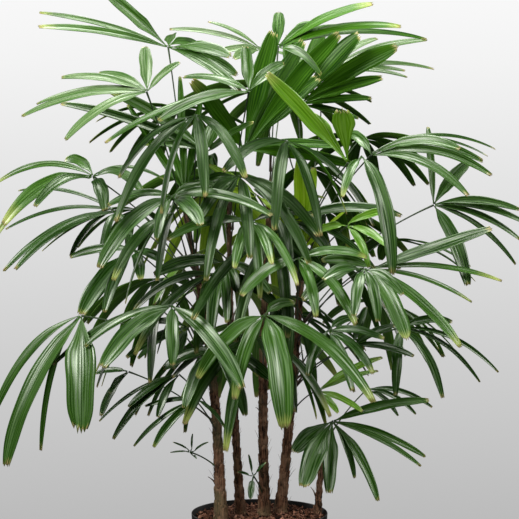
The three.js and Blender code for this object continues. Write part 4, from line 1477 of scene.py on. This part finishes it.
@dataclass
class Foliage:
    """The leaflets of every fan: thin pleated blades with blunt, toothed tips."""

    patterns: Patterns
    fronds: list
    columns: int = 9
    thickness: float = 0.7
    stagger: float = 0.9
    pleat: float = 1.0
    pleat_halves: tuple = (7.0, 20.0)
    waver: float = 0.06
    wavers: float = 2.3
    waver_seed: int = 7
    tone_seed: int = 11
    hollow: float = 1.0
    fold_bow: float = 1.4
    relief_rise: float = 0.7
    relief_fall: float = 0.6
    root_gap: float = 2.5
    root_half: float = 1.5
    narrow_taper: tuple = (7.0, 0.25)
    broad_taper: tuple = (18.0, 0.08)
    taper_power: int = 4
    looser: float = 0.9
    looser_from: float = 0.06
    looser_over: float = 0.55
    tip_round: float = 0.25
    tooth: float = 0.55
    tooth_jitter: float = 0.8
    tooth_rows: int = 4
    small_length: float = 60.0
    small_half: float = 6.0
    slender: float = 0.55
    rib_spacing: float = 5.5
    fewest_ribs: int = 3
    most_in_piece: int = 190

    def half_widths(self, leaflet: Leaflet, length: float) -> np.ndarray:
        """Widens a leaflet's run to its blade.

        Args:
            leaflet: its stations.
            length: how far its tip is from the middle of its fan.

        Returns:
            Half the blade's width at each row, the first of them at the root.
        """
        outer = np.clip((leaflet.share - self.looser_from) / self.looser_over, 0, 1)
        wide = np.minimum(leaflet.full, leaflet.half * (1 + self.looser * outer))
        wide = np.maximum(leaflet.half, wide)
        if length < self.small_length and leaflet.full.max() < self.small_half:
            wide = wide * self.slender
        taper = np.interp(leaflet.full, *zip(self.narrow_taper, self.broad_taper))
        return np.concatenate([[self.root_half], wide * (1 - taper * leaflet.share**self.taper_power)])

    def heights(self, leaflet: Leaflet, half: np.ndarray, u: np.ndarray, fade: np.ndarray) -> np.ndarray:
        """Lays the fold, the hollow and the pleats of a blade.

        Args:
            leaflet: its stations; every other one in a fan lies a little higher.
            half: half the blade's width at each row.
            u: the places across a row, from -1 to 1.
            fade: how much of its relief each row has.

        Returns:
            How far each corner of each row stands off the middle line.
        """
        zigzag = np.where(np.arange(self.columns) % 2 == 0, 0.5, -0.5) * self.pleat
        stagger = self.stagger if leaflet.seed // TRIES_APART % 2 else -self.stagger
        fold = BLADE_FOLD * half[:, None] * np.abs(u) ** self.fold_bow
        pleated = fade * np.interp(half, self.pleat_halves, (0, 1))
        return fold + (stagger - self.hollow * (1 - u**2)) * fade[:, None] + zigzag * pleated[:, None]

    def blade(self, leaflet: Leaflet, hub: np.ndarray) -> np.ndarray:
        """Shapes one leaflet.

        Args:
            leaflet: its stations.
            hub: the middle of its fan.

        Returns:
            The corners of its upper and then its lower side, rows from root to tip.
        """
        start = unit(leaflet.middle[0] - hub)
        middle = np.vstack([hub + start * self.root_gap, leaflet.middle])
        side = np.vstack([leaflet.side[:1], leaflet.side])
        normal = np.vstack([leaflet.normal[:1], leaflet.normal])
        half = self.half_widths(leaflet, np.linalg.norm(leaflet.middle[-1] - hub))
        u = np.linspace(-1, 1, self.columns)
        t = np.linspace(0, 1, len(half))
        fade = np.sin(np.pi * t**self.relief_rise) ** self.relief_fall
        draws = Draws(leaflet.seed + self.waver_seed)
        swing = math.tau * (self.wavers * t[:, None] + np.array([draws.next(), draws.next()]))
        edges = 1 + self.waver * np.sin(swing) * fade[:, None]
        across = half[:, None] * u * np.where(u < 0, edges[:, :1], edges[:, 1:])
        top = middle[:, None] + side[:, None] * across[..., None]
        top = top + normal[:, None] * self.heights(leaflet, half, u, fade)[..., None]
        ends = [self.tip_round * w * w + self.tooth * (k % 2) + self.tooth_jitter * draws.next()
                for k, w in enumerate(u)]
        drawn_back = np.linspace(0, 1, self.tooth_rows + 1)[1:]
        back = half[-1] * drawn_back[:, None] * np.array(ends)
        top[-self.tooth_rows:] -= unit(middle[-1] - middle[-2]) * back[..., None]
        low = top - normal[:, None] * self.thickness
        return np.concatenate([top.reshape(-1, 3), low.reshape(-1, 3)])

    def pattern(self, rows: int) -> Skin:
        """Joins up the corners that every blade has.

        Args:
            rows: how many rows of corners it has.

        Returns:
            The faces, with the finish of each, and the coordinates, but no corners yet.
        """
        cols = self.columns
        low = rows * cols
        i, j = np.meshgrid(np.arange(rows - 1), np.arange(cols - 1), indexing="ij")
        at = i * cols + j
        upper = faces_of(at, at + cols, at + cols + 1, at + 1)
        down = np.arange(rows - 1) * cols
        wide = np.arange(cols - 1)
        edges = (
            faces_of(down, down + low, down + cols + low, down + cols),
            faces_of(down, down + cols, down + cols + low, down + low) + cols - 1,
            faces_of(wide, wide + 1, wide + 1 + low, wide + low),
            faces_of(wide, wide + low, wide + 1 + low, wide + 1) + (rows - 1) * cols,
        )
        quads = np.vstack([upper, upper[:, ::-1] + low, *edges])
        side = spread(np.linspace(0, 1, cols), np.linspace(0, 1, rows))
        slots = (np.arange(len(quads)) >= len(upper)) * 1
        return Skin(np.zeros((0, 3)), quads, np.vstack([side, side]), slots)

    def ribs_of(self, leaflet: Leaflet) -> float:
        """Returns how many ribs fit across a leaflet, one of them along its middle."""
        return max(self.fewest_ribs, round(2 * float(leaflet.half.max()) / self.rib_spacing))

    def batches(self) -> dict[str, list[Frond]]:
        """Deals the fronds out into pieces by tint.

        Returns:
            The fronds of each piece by its name, none with too many leaflets.
        """
        tints = {number - 1: tint for tint, numbers in TINTED_FRONDS.items() for number in numbers}
        batches: dict[str, list[Frond]] = {}
        for frond in self.fronds:
            plain = LeafTint.SHADE if frond.number >= len(FRONDS) else LeafTint.DEEP
            tint = tints.get(frond.number, plain).value
            count = sum(1 for name in batches if name.startswith(tint))
            name = f"{tint}_{max(count, 1)}"
            held = sum(len(other.blades) for other in batches.get(name, []))
            if held + len(frond.blades) > self.most_in_piece:
                name = f"{tint}_{count + 1}"
            batches.setdefault(name, []).append(frond)
        return batches

    def finishes(self, name: str) -> list[Material]:
        """Builds the finishes of one piece.

        Args:
            name: its tint and number.

        Returns:
            The finish of the upper sides, and that of the lower ones.
        """
        tint = LeafTint(name.split("_")[0])
        wax, gloss = SHEENS.get(tint, PLAIN_SHEEN)
        upper = LeafFinish(f"leaf_{name}_upper", *UPPER_SIDES[tint], wax=wax, gloss=gloss)
        lower = LeafFinish(f"leaf_{name}_lower", *LOWER_SIDES[tint], **LOWER_SHEEN)
        return [side.build(self.patterns) for side in (upper, lower)]

    def build(self) -> None:
        """Builds and dresses the leaflets, joined by tint; a piece stands for the nodes of its fronds."""
        shape = self.pattern(BLADE_STEPS + 2)
        sheets = np.arange(len(shape.quads)) < 2 * np.count_nonzero(shape.slots == 0)
        stood_for: set[str] = set()
        for name, fronds in self.batches().items():
            leaflets = [leaflet for frond in fronds for leaflet in frond.blades]
            blades = [self.blade(leaflet, frond.hub) for frond in fronds for leaflet in frond.blades]
            corners = len(blades[0])
            starts = np.arange(len(blades)) * corners
            piece = Skin(
                np.concatenate(blades),
                (shape.quads[None] + starts[:, None, None]).reshape(-1, 4),
                np.concatenate([shape.uvs * (self.ribs_of(leaflet), 1) for leaflet in leaflets]),
                np.tile(shape.slots, len(blades)),
            ).build(f"leaflets_{name}", self.finishes(name))
            piece.data.polygons.foreach_set("use_smooth", np.tile(sheets, len(blades)))
            tones = [Draws(leaflet.seed + self.tone_seed).next() for leaflet in leaflets]
            store(piece.data, "tone", np.repeat(tones, corners))
            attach(piece, "root")
            nodes = sorted({frond.node for frond in fronds} - stood_for)
            stood_for |= set(nodes)
            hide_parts(*nodes)
            log.info("%s: %d leaflets of %d fronds", piece.name, len(blades), len(fronds))


@dataclass
class Stalks:
    """Every leaf stalk, swept along its arch by Geometry Nodes."""

    patterns: Patterns
    fronds: list
    points: int = 20
    sides: int = 8
    foot_radius: float = 3.4
    middle_radius: float = 1.35
    hub_radius: float = 2.1
    foot_share: float = 0.12
    hub_swell: int = 12

    def lines(self) -> Object:
        """Draws the arches as a mesh of edges.

        Returns:
            Its object, with the radius and the share of length at each point.
        """
        t = np.linspace(0, 1, self.points)
        foot, hub = self.foot_radius - self.middle_radius, self.hub_radius - self.middle_radius
        radius = self.middle_radius + foot * np.exp(-t / self.foot_share) + hub * t**self.hub_swell
        count = len(self.fronds)
        places = np.concatenate([frond.stalk.spaced(t) for frond in self.fronds]) * MM
        at = np.arange(len(places)).reshape(count, -1)
        edges = np.stack([at[:, :-1], at[:, 1:]], axis=-1).reshape(-1, 2)
        mesh = bpy.data.meshes.new("stalk_lines")
        mesh.from_pydata(places.tolist(), edges.tolist(), [])
        store(mesh, "stalk_radius", np.tile(radius * MM, count))
        store(mesh, "stalk_share", np.tile(t, count))
        return add_object("leaf_stalks", mesh)

    def sweep(self, values: dict, material: Material) -> NodeTree:
        """Wires the tree that sweeps a round section along the lines.

        Args:
            values: its inputs.
            material: the finish.

        Returns:
            The tree.
        """
        nodes, given, result = node_group(GEOMETRY_TREE, "sweep_stalks", values)
        curve = nodes.add("GeometryNodeMeshToCurve", Mesh=given.outputs["Geometry"])
        radius, share = (
            nodes.add("GeometryNodeInputNamedAttribute", {"data_type": "FLOAT"}, Name=name).outputs[0]
            for name in ("stalk_radius", "stalk_share")
        )
        kept = nodes.add("GeometryNodeCaptureAttribute")
        kept.capture_items.new("FLOAT", "share")
        nodes.feed(kept, Geometry=curve.outputs[0], share=share)
        section = nodes.add("GeometryNodeCurvePrimitiveCircle", Radius=1.0,
                            Resolution=given.outputs["Sides"])
        swept = nodes.add("GeometryNodeCurveToMesh", Curve=kept.outputs["Geometry"],
                          Profile_Curve=section.outputs[0], Scale=radius, Fill_Caps=True)
        pair = nodes.add("ShaderNodeCombineXYZ", X=0.5, Y=kept.outputs["share"])
        laid = nodes.add("GeometryNodeStoreNamedAttribute", {"data_type": "FLOAT2", "domain": "CORNER"},
                         Geometry=swept.outputs[0], Name="surface", Value=pair.outputs[0])
        nodes.deliver(result, laid.outputs[0], material)
        return nodes.tree

    def build(self) -> None:
        """Builds and dresses the stalks."""
        finish = StalkFinish("stalk_green", (0.034, 0.072, 0.016), (0.012, 0.028, 0.008),
                             (0.060, 0.036, 0.020))
        values = {"Sides": self.sides}
        tree = self.sweep(values, finish.build(self.patterns))
        piece = apply_tree(self.lines(), tree, values, "leaf_stalks")
        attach(piece, "root")
        log.info("%s: %d stalks", piece.name, len(self.fronds))


@dataclass
class Stems:
    """The canes, with the relief of their old leaf sheaths, and the loose fibres on them."""

    patterns: Patterns
    canes: list
    sides: int = 28
    step: float = 3.0
    first_seed: int = 40
    phases: int = 6
    sheath: float = 27.0
    sheath_lift: float = 2.3
    # The height of each wave in a sheath's edge, how often it goes round, and its turn in a millimetre.
    torn_edge: tuple = ((3.0, 3, 0.02), (2.2, 7, 0.0))
    bumps: int = 4
    bump_turn: float = 0.01
    ridge: float = 0.7
    ridges: int = 9
    ridge_turn: float = 0.05
    ridge_share: float = 0.6
    grain_share: float = 0.7
    sunk: float = 0.4
    thin_relief: float = 0.2
    tip_length: float = 10.0
    tip_least: float = 0.02
    # The length, half thickness and lift of a sliver, how many there are on a cane, and their seed.
    strand: tuple = (15, 0.4, 1.5, 130, 3)
    stub: tuple = (16, 2.1, 7, 9, 8)
    sliver_steps: int = 5
    sliver_taper: float = 0.7
    least_spin: tuple = (0.0, 0.0, -0.45)
    most_spin: tuple = (0.3, 0.0, 0.45)
    sliver_sizes: tuple = (0.5, 1.5)
    spin_seed: int = 5
    size_seed: int = 9
    end_sleeve: float = 0.5

    def rings(self, cane: Cane, number: int) -> tuple[np.ndarray, np.ndarray]:
        """Shapes one cane.

        Args:
            cane: its middle line and thickness.
            number: its number, for the seed of its relief.

        Returns:
            The rings of its skin, from the foot to the closed tip, and how far up its sheath each corner is.
        """
        rng = np.random.default_rng(self.first_seed + number)
        height = cane.tip[2] - CANE_FOOT
        stations = int(height / self.step)
        turns = turns_round(self.sides)
        phases = rng.uniform(0, math.tau, self.phases)
        rings, sleeves = [], []
        for station in range(stations + 1):
            t = station / stations
            place, radius = cane.at(t)
            above = height * t
            torn = sum(tall * np.sin(turns * waves + phases[k] + above * turn)
                       for k, (tall, waves, turn) in enumerate(self.torn_edge))
            sleeve = (above + self.sheath * turns / math.tau + torn) % self.sheath / self.sheath
            bumps = sum(np.sin(turns * (k + 2) + phases[k] + above * self.bump_turn * (k + 1))
                        for k in range(self.bumps)) / self.bumps
            ridges = np.sin(turns * self.ridges + phases[-2] + np.sin(above * self.ridge_turn + phases[-1]))
            grain = rng.uniform(-1, 1, self.sides)
            rough = bumps + self.ridge_share * ridges + self.grain_share * grain
            relief = self.sheath_lift * sleeve + self.ridge * rough
            relief *= min(1, radius / cane.foot_radius + self.thin_relief)
            narrow = math.sqrt(max(self.tip_least, min(1, (height - above) / self.tip_length)))
            rings.append(place + ring(turns, (radius - self.sunk + relief) * narrow, 0))
            sleeves.append(sleeve)
        return np.array(rings), np.array(sleeves)

    def build_canes(self) -> list[Object]:
        """Builds and dresses the canes.

        Returns:
            One piece for each cane node.
        """
        # The canes' sheath recesses are painted dark as shade.
        finish = FibreFinish("cane_fibre", (0.010, 0.006, 0.004), (0.205, 0.098, 0.056),
                             (0.385, 0.230, 0.145), density=420.0, crevice_shade=0.9, mossy=0.6)
        material = finish.build(self.patterns)
        pieces = []
        for number, cane in enumerate(self.canes):
            rings, sleeves = self.rings(cane, number)
            piece = tube(rings).build(f"{cane.node}_bark", [material])
            store(piece.data, "sleeve", np.append(sleeves.ravel(), [self.end_sleeve] * 2))
            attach(piece, "root")
            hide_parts(cane.node)
            report(piece)
            pieces.append(piece)
        return pieces

    def sliver(self, name: str, length: float, width: float, lift: float) -> Object:
        """Builds a thin four-sided sliver that lifts off at its upper end.

        Args:
            name: the shape's name.
            length: how far it reaches up.
            width: half its thickness at its foot.
            lift: how far its end stands off.

        Returns:
            The sliver, pointing along +Y.
        """
        rings = [ring(turns_round(4), width * (1 - self.sliver_taper * t), 0)[::-1, [0, 2, 1]]
                 + (0, length * t, lift * t**2) for t in np.linspace(0, 1, self.sliver_steps)]
        return tube(np.array(rings)).build(name, [])

    def scatter(self, sliver: Object, values: dict, material: Material) -> NodeTree:
        """Wires the tree that scatters slivers over the canes, pointing up along them.

        Args:
            sliver: the shape.
            values: its inputs.
            material: the finish.

        Returns:
            The tree.
        """
        nodes, given, result = node_group(GEOMETRY_TREE, "scatter_strands", values)
        points = nodes.add("GeometryNodeDistributePointsOnFaces", Mesh=given.outputs["Geometry"],
                           Density=given.outputs["Density"], Seed=given.outputs["Seed"])
        upright = nodes.add("FunctionNodeAlignRotationToVector", {"axis": "Y", "pivot_axis": "Z"},
                            Rotation=points.outputs["Rotation"], Vector=tuple(UP))
        spin = nodes.random_turn(self.spin_seed, self.least_spin, self.most_spin)
        turned = nodes.add("FunctionNodeRotateRotation", {"rotation_space": "LOCAL"},
                           Rotation=upright.outputs[0], Rotate_By=spin)
        shape = nodes.add("GeometryNodeObjectInfo", Object=sliver)
        placed = nodes.add("GeometryNodeInstanceOnPoints", Points=points.outputs["Points"],
                           Instance=shape.outputs["Geometry"], Rotation=turned.outputs[0],
                           Scale=nodes.random(self.size_seed, *self.sliver_sizes))
        nodes.deliver(result, placed.outputs[0], material)
        return nodes.tree

    def build_strands(self, canes: list[Object]) -> None:
        """Builds and dresses the loose fibres and the stubs of old stalks.

        Args:
            canes: the finished canes that they stand on.
        """
        finish = FibreFinish("loose_fibre", (0.030, 0.020, 0.013), (0.120, 0.078, 0.048),
                             (0.300, 0.220, 0.150), density=300.0)
        material = finish.build(self.patterns)
        for name, (*sizes, per_cane, seed) in (("cane_strands", self.strand), ("stalk_stubs", self.stub)):
            points, faces = [], []
            for cane in canes:
                faces += [[len(points) + v for v in polygon.vertices] for polygon in cane.data.polygons]
                points += [v.co[:] for v in cane.data.vertices]
            bed = bpy.data.meshes.new("strand_bed")
            bed.from_pydata(points, [], faces)
            area = sum(polygon.area for polygon in bed.polygons)
            values = {"Density": per_cane * len(canes) / area, "Seed": seed}
            sliver = self.sliver(f"{name}_shape", *sizes)
            tree = self.scatter(sliver, values, material)
            piece = apply_tree(add_object("strand_bed", bed), tree, values, name)
            bpy.data.objects.remove(sliver)
            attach(piece, "root")
            report(piece)


@dataclass
class NurseryPot:
    """The round black pot: a thin wall with a turned rim."""

    patterns: Patterns
    around: int = 96
    rim_round: float = 1.4
    pinch: float = 0.01

    def profile(self) -> list[tuple]:
        """Draws the pot's section.

        Returns:
            Its reach and height at each corner, from the middle of the underside round to the inner floor.
        """
        r = self.rim_round
        rim_low = POT_HEIGHT - POT_RIM_DEPTH
        skirt = POT_RIM_RADIUS - POT_RIM_SLOPE
        inner_rim = POT_RIM_RADIUS - POT_WALL
        inner_foot = POT_FOOT_RADIUS - POT_WALL
        return [
            (self.pinch, 0), (POT_FOOT_RADIUS - 3, 0), (POT_FOOT_RADIUS - 0.4, 1), (POT_FOOT_RADIUS + 0.2, 4),
            (mix(POT_FOOT_RADIUS, POT_TOP_RADIUS, 0.5), rim_low / 2), (POT_TOP_RADIUS - 0.3, rim_low - 2),
            (POT_TOP_RADIUS + 1.5, rim_low - 0.2), (skirt - r, rim_low), (skirt, rim_low + r),
            (POT_RIM_RADIUS - r / 2, POT_HEIGHT - r), (POT_RIM_RADIUS - r, POT_HEIGHT),
            (inner_rim + r / 2, POT_HEIGHT), (inner_rim, POT_HEIGHT - r),
            (POT_TOP_RADIUS, POT_HEIGHT - POT_STEP), (inner_foot, POT_FLOOR + 2),
            (inner_foot - 2, POT_FLOOR), (self.pinch, POT_FLOOR),
        ]

    def build(self) -> None:
        """Builds and dresses the pot."""
        turns = turns_round(self.around)
        rings = np.array([ring(turns, reach, height) for reach, height in self.profile()])
        finish = PotFinish("pot_black", (0.003, 0.003, 0.003), (0.018, 0.018, 0.017))
        piece = tube(rings).build("nursery_pot", [finish.build(self.patterns)])
        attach(piece, "root")
        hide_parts("pot")
        report(piece)


@dataclass
class BarkMulch:
    """The mix in the pot, and the bark chips that lie on it."""

    patterns: Patterns
    around: int = 64
    rings_across: int = 22
    top_radius: float = POT_TOP_RADIUS - POT_WALL + 1
    pinch: float = 0.01
    pinch_share: float = 0.0001
    top_sunk: float = 1.0
    bed_seed: int = 11
    bed_phases: int = 8
    # The height of each wave in the mix, and how fast it turns along X and along Y.
    waves: tuple = ((1.1, 0.09, 0.08), (0.66, 0.21, 0.19))
    chip_seed: int = 23
    chip_kinds: int = 5
    chip_corners: int = 8
    chip_spans: tuple = ((7, 14), (2.4, 4.6), (1.2, 2.6))
    chip_ragged: tuple = (0.7, 1.15)
    chip_layers: tuple = ((0, 0.75), (0.5, 1.0), (1, 0.7))
    chip_bend: float = 0.6
    chip_tilt: float = 0.8
    chip_sunk: float = 0.5
    chip_past: float = 0.5
    chip_gap: float = 3.4
    chip_density: float = 80000.0
    chip_sizes: tuple = (0.35, 0.95)
    strew_seed: int = 7
    spin_seed: int = 2
    size_seed: int = 4
    tone_seed: int = 6

    def bed(self) -> None:
        """Builds and dresses the mix itself, with an uneven top."""
        phases = np.random.default_rng(self.bed_seed).uniform(0, math.tau, self.bed_phases)
        floor = POT_FLOOR + CLEARANCE
        turns = turns_round(self.around)
        foot = POT_FOOT_RADIUS - POT_WALL - 2 * CLEARANCE
        rings = [ring(turns, self.pinch, floor), ring(turns, foot, floor)]
        for k in range(self.rings_across + 1):
            reach = self.top_radius * max(self.pinch_share, 1 - k / self.rings_across)
            level = ring(turns, reach, MIX_TOP - self.top_sunk)
            for n, (tall, along_x, along_y) in enumerate(self.waves if k else ()):
                level[:, 2] += (tall * np.sin(level[:, 0] * along_x + phases[2 * n])
                                * np.cos(level[:, 1] * along_y + phases[2 * n + 1]))
            rings.append(level)
        finish = BarkFinish("mix_brown", (0.005, 0.003, 0.002), (0.030, 0.014, 0.009), (0.050, 0.024, 0.014))
        piece = tube(np.array(rings)).build("mix_bed", [finish.build(self.patterns)])
        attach(piece, "root")
        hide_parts("potting_mix")
        report(piece)

    def chip_shapes(self) -> Collection:
        """Builds a few bark chips: flat, ragged flakes.

        Returns:
            The collection that holds them.
        """
        rng = np.random.default_rng(self.chip_seed)
        shapes = bpy.data.collections.new("chip_shapes")
        bpy.context.scene.collection.children.link(shapes)
        turns = turns_round(self.chip_corners)
        for number in range(self.chip_kinds):
            long, wide, thick = (rng.uniform(*span) for span in self.chip_spans)
            ragged = rng.uniform(*self.chip_ragged, self.chip_corners)
            bent = self.chip_bend * np.sin(turns * 2 + number)
            rings = [ring(turns, ragged * inset, thick * share + bent) * (long, wide, 1)
                     for share, inset in self.chip_layers]
            chip = tube(np.array(rings)).build(f"chip_shape_{number}", [])
            bpy.context.scene.collection.objects.unlink(chip)
            shapes.objects.link(chip)
        return shapes

    def scatter(self, shapes: Collection, values: dict, material: Material) -> NodeTree:
        """Wires the tree that strews the chips over a surface.

        Args:
            shapes: the chips.
            values: its inputs.
            material: the finish.

        Returns:
            The tree.
        """
        nodes, given, result = node_group(GEOMETRY_TREE, "strew_chips", values)
        points = nodes.add("GeometryNodeDistributePointsOnFaces", {"distribute_method": "POISSON"},
                           Mesh=given.outputs["Geometry"], Distance_Min=given.outputs["Gap"],
                           Density_Max=given.outputs["Density"], Seed=given.outputs["Seed"])
        tilt = self.chip_tilt
        spin = nodes.random_turn(self.spin_seed, (-tilt, -tilt, 0.0), (tilt, tilt, math.tau))
        size = nodes.random(self.size_seed, given.outputs["Smallest"], given.outputs["Largest"])
        chips = nodes.add("GeometryNodeCollectionInfo", Collection=shapes, Separate_Children=True,
                          Reset_Children=True)
        placed = nodes.add("GeometryNodeInstanceOnPoints", Points=points.outputs["Points"],
                           Instance=chips.outputs[0], Pick_Instance=True, Rotation=spin, Scale=size)
        toned = nodes.add("GeometryNodeStoreNamedAttribute", {"data_type": "FLOAT", "domain": "INSTANCE"},
                          Geometry=placed.outputs[0], Name="tone",
                          Value=nodes.random(self.tone_seed, 0.0, 1.0))
        nodes.deliver(result, toned.outputs[0], material)
        return nodes.tree

    def chips(self) -> None:
        """Builds and dresses the chips."""
        finish = BarkFinish("bark_chips", (0.008, 0.003, 0.002), (0.150, 0.060, 0.034), (0.420, 0.215, 0.145),
                            speckle=0.3)
        reach, height = self.top_radius + self.chip_past, MIX_TOP - self.chip_sunk
        corners = ring(turns_round(self.around), reach, height) * MM
        disc = bpy.data.meshes.new("chip_bed")
        disc.from_pydata(corners.tolist(), [], [range(self.around)])
        smallest, largest = self.chip_sizes
        values = {"Gap": self.chip_gap * MM, "Density": self.chip_density, "Smallest": smallest,
                  "Largest": largest, "Seed": self.strew_seed}
        shapes = self.chip_shapes()
        tree = self.scatter(shapes, values, finish.build(self.patterns))
        piece = apply_tree(add_object("chip_bed", disc), tree, values, "bark_chips")
        for shape in list(shapes.objects):
            bpy.data.objects.remove(shape)
        bpy.data.collections.remove(shapes)
        piece.data.polygons.foreach_set("use_smooth", np.zeros(len(piece.data.polygons), bool))
        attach(piece, "root")
        report(piece)


# ---- The studio ----


@dataclass
class Studio:
    """Pale floor, soft light, and a camera level with the upper leaves."""

    camera_height: float = 0.845
    camera_distance: float = 3.0
    camera_tilt: float = 1.85
    focal_pixels: float = 1500.0
    image_pixels: float = 519.0
    sensor: float = 36.0
    clip: tuple = (0.05, 60)
    warmth: tuple = (1.0, 0.985, 0.95)
    crown: tuple = (0, 0, 0.8)
    # The name, place, side in metres and watts of each lamp.
    lamps: tuple = (
        ("key_left", (-1.9, -2.2, 2.6), 1.5, 132),
        ("key_right", (2.2, -1.8, 2.4), 1.5, 72),
        ("overhead", (0.0, -0.2, 3.2), 1.4, 84),
        ("back_left", (-2.3, 2.3, 2.1), 1.6, 48),
        ("back_right", (2.5, 2.1, 2.1), 1.6, 42),
    )
    # The backdrop's greys, each with the upward part of the direction in which it shows.
    greys: tuple = ((-0.2015, 0.497), (-0.144, 0.565), (-0.098, 0.62), (-0.059, 0.672), (0.02, 0.78),
                    (0.058, 0.84), (0.098, 0.9), (0.137, 0.94))
    grey_range: tuple = (-0.22, 0.14)
    backdrop_lights: float = 0.06
    backdrop_shows: float = 1.0
    backdrop_mirrors: float = 0.04
    floor_around: int = 96
    floor_rings: tuple = (0.0002, 0.25, 0.5, 0.75, 1.0)
    floor_fade: tuple = (0.3, 0.95)
    floor_grey: tuple = (0.372, 0.38, 0.40)
    floor_roughness: float = 0.9

    def camera(self) -> None:
        """Puts the camera in front of the plant."""
        data = bpy.data.cameras.new("camera")
        data.sensor_width = self.sensor
        data.lens = self.sensor * self.focal_pixels / self.image_pixels
        data.clip_start, data.clip_end = self.clip
        camera = add_object("camera", data)
        camera.location = (0, -self.camera_distance, self.camera_height)
        camera.rotation_euler = (math.radians(90 - self.camera_tilt), 0, 0)
        bpy.context.scene.camera = camera

    def light(self, name: str, place: tuple, size: float, power: float) -> None:
        """Adds one soft square light, a little warm, that faces the crown.

        Args:
            name: the light's name.
            place: where it stands, in metres.
            size: its side, in metres.
            power: its strength in watts.
        """
        data = bpy.data.lights.new(name, "AREA")
        data.color = self.warmth
        data.size = size
        data.energy = power
        lamp = add_object(name, data)
        lamp.location = place
        x, y, z = np.array(self.crown) - place
        lamp.rotation_euler = (math.atan2(math.hypot(x, y), -z), 0, math.atan2(y, x) + 1.5 * math.pi)

    def backdrop(self) -> None:
        """Gives the world a smooth grey that darkens downwards, and a softer light than it shows."""
        world = bpy.data.worlds.new("studio")
        bpy.context.scene.world = world
        world.use_nodes = True
        nodes = Nodes(world.node_tree)
        back = next(node for node in nodes.tree.nodes if node.type == "BACKGROUND")
        up = nodes.parts(nodes.add("ShaderNodeTexCoord").outputs["Generated"])["Z"]
        low, high = self.grey_range
        sky = nodes.add("ShaderNodeValToRGB", Fac=nodes.ramp(up, low, high))
        while len(sky.color_ramp.elements) < len(self.greys):
            sky.color_ramp.elements.new(0.5)
        for element, (height, grey) in zip(sky.color_ramp.elements, self.greys):
            element.position = (height - low) / (high - low)
            element.color = (grey, grey, grey, 1)
        path = nodes.add("ShaderNodeLightPath").outputs
        shown = nodes.ramp(path["Is Camera Ray"], 0, 1, self.backdrop_lights, self.backdrop_shows)
        strength = nodes.total(shown, (path["Is Glossy Ray"], self.backdrop_mirrors))
        nodes.feed(back, Color=sky.outputs[0], Strength=strength)

    def floor(self) -> None:
        """Lays the pale floor that the pot stands on, fading out into the backdrop."""
        material, nodes, shader = new_material("floor_pale")
        away = nodes.add("ShaderNodeVectorMath", {"operation": "LENGTH"}, Vector=nodes.place())
        nodes.feed(shader, Alpha=nodes.ramp(away.outputs["Value"], *self.floor_fade, 1, 0),
                   Base_Color=self.floor_grey, Roughness=self.floor_roughness)
        turns = turns_round(self.floor_around)
        rings = np.array([ring(turns, reach / MM, 0) for reach in self.floor_rings])
        piece = tube(rings, closed_ends=False).build("floor", [material])

    def build(self) -> None:
        """Sets up the camera, backdrop, floor and lights."""
        self.camera()
        self.backdrop()
        self.floor()
        for lamp in self.lamps:
            self.light(*lamp)
        bpy.context.scene.view_settings.view_transform = "Standard"
        log.info("studio: camera, backdrop, floor and lights")


def main() -> None:
    """Builds the studio, then the pot, the mix, the canes, the stalks and the leaflets."""
    logging.basicConfig(level=logging.INFO, format="%(name)s: %(message)s")
    patterns = Patterns()
    Studio().build()
    growth = Growth()
    fronds = growth.grow_all()
    log.info("fronds: %d with %d leaflets", len(fronds), sum(len(frond.blades) for frond in fronds))
    NurseryPot(patterns).build()
    mulch = BarkMulch(patterns)
    mulch.bed()
    mulch.chips()
    stems = Stems(patterns, growth.canes)
    stems.build_strands(stems.build_canes())
    Stalks(patterns, fronds).build()
    Foliage(patterns, fronds).build()


if __name__ == "__main__":
    main()
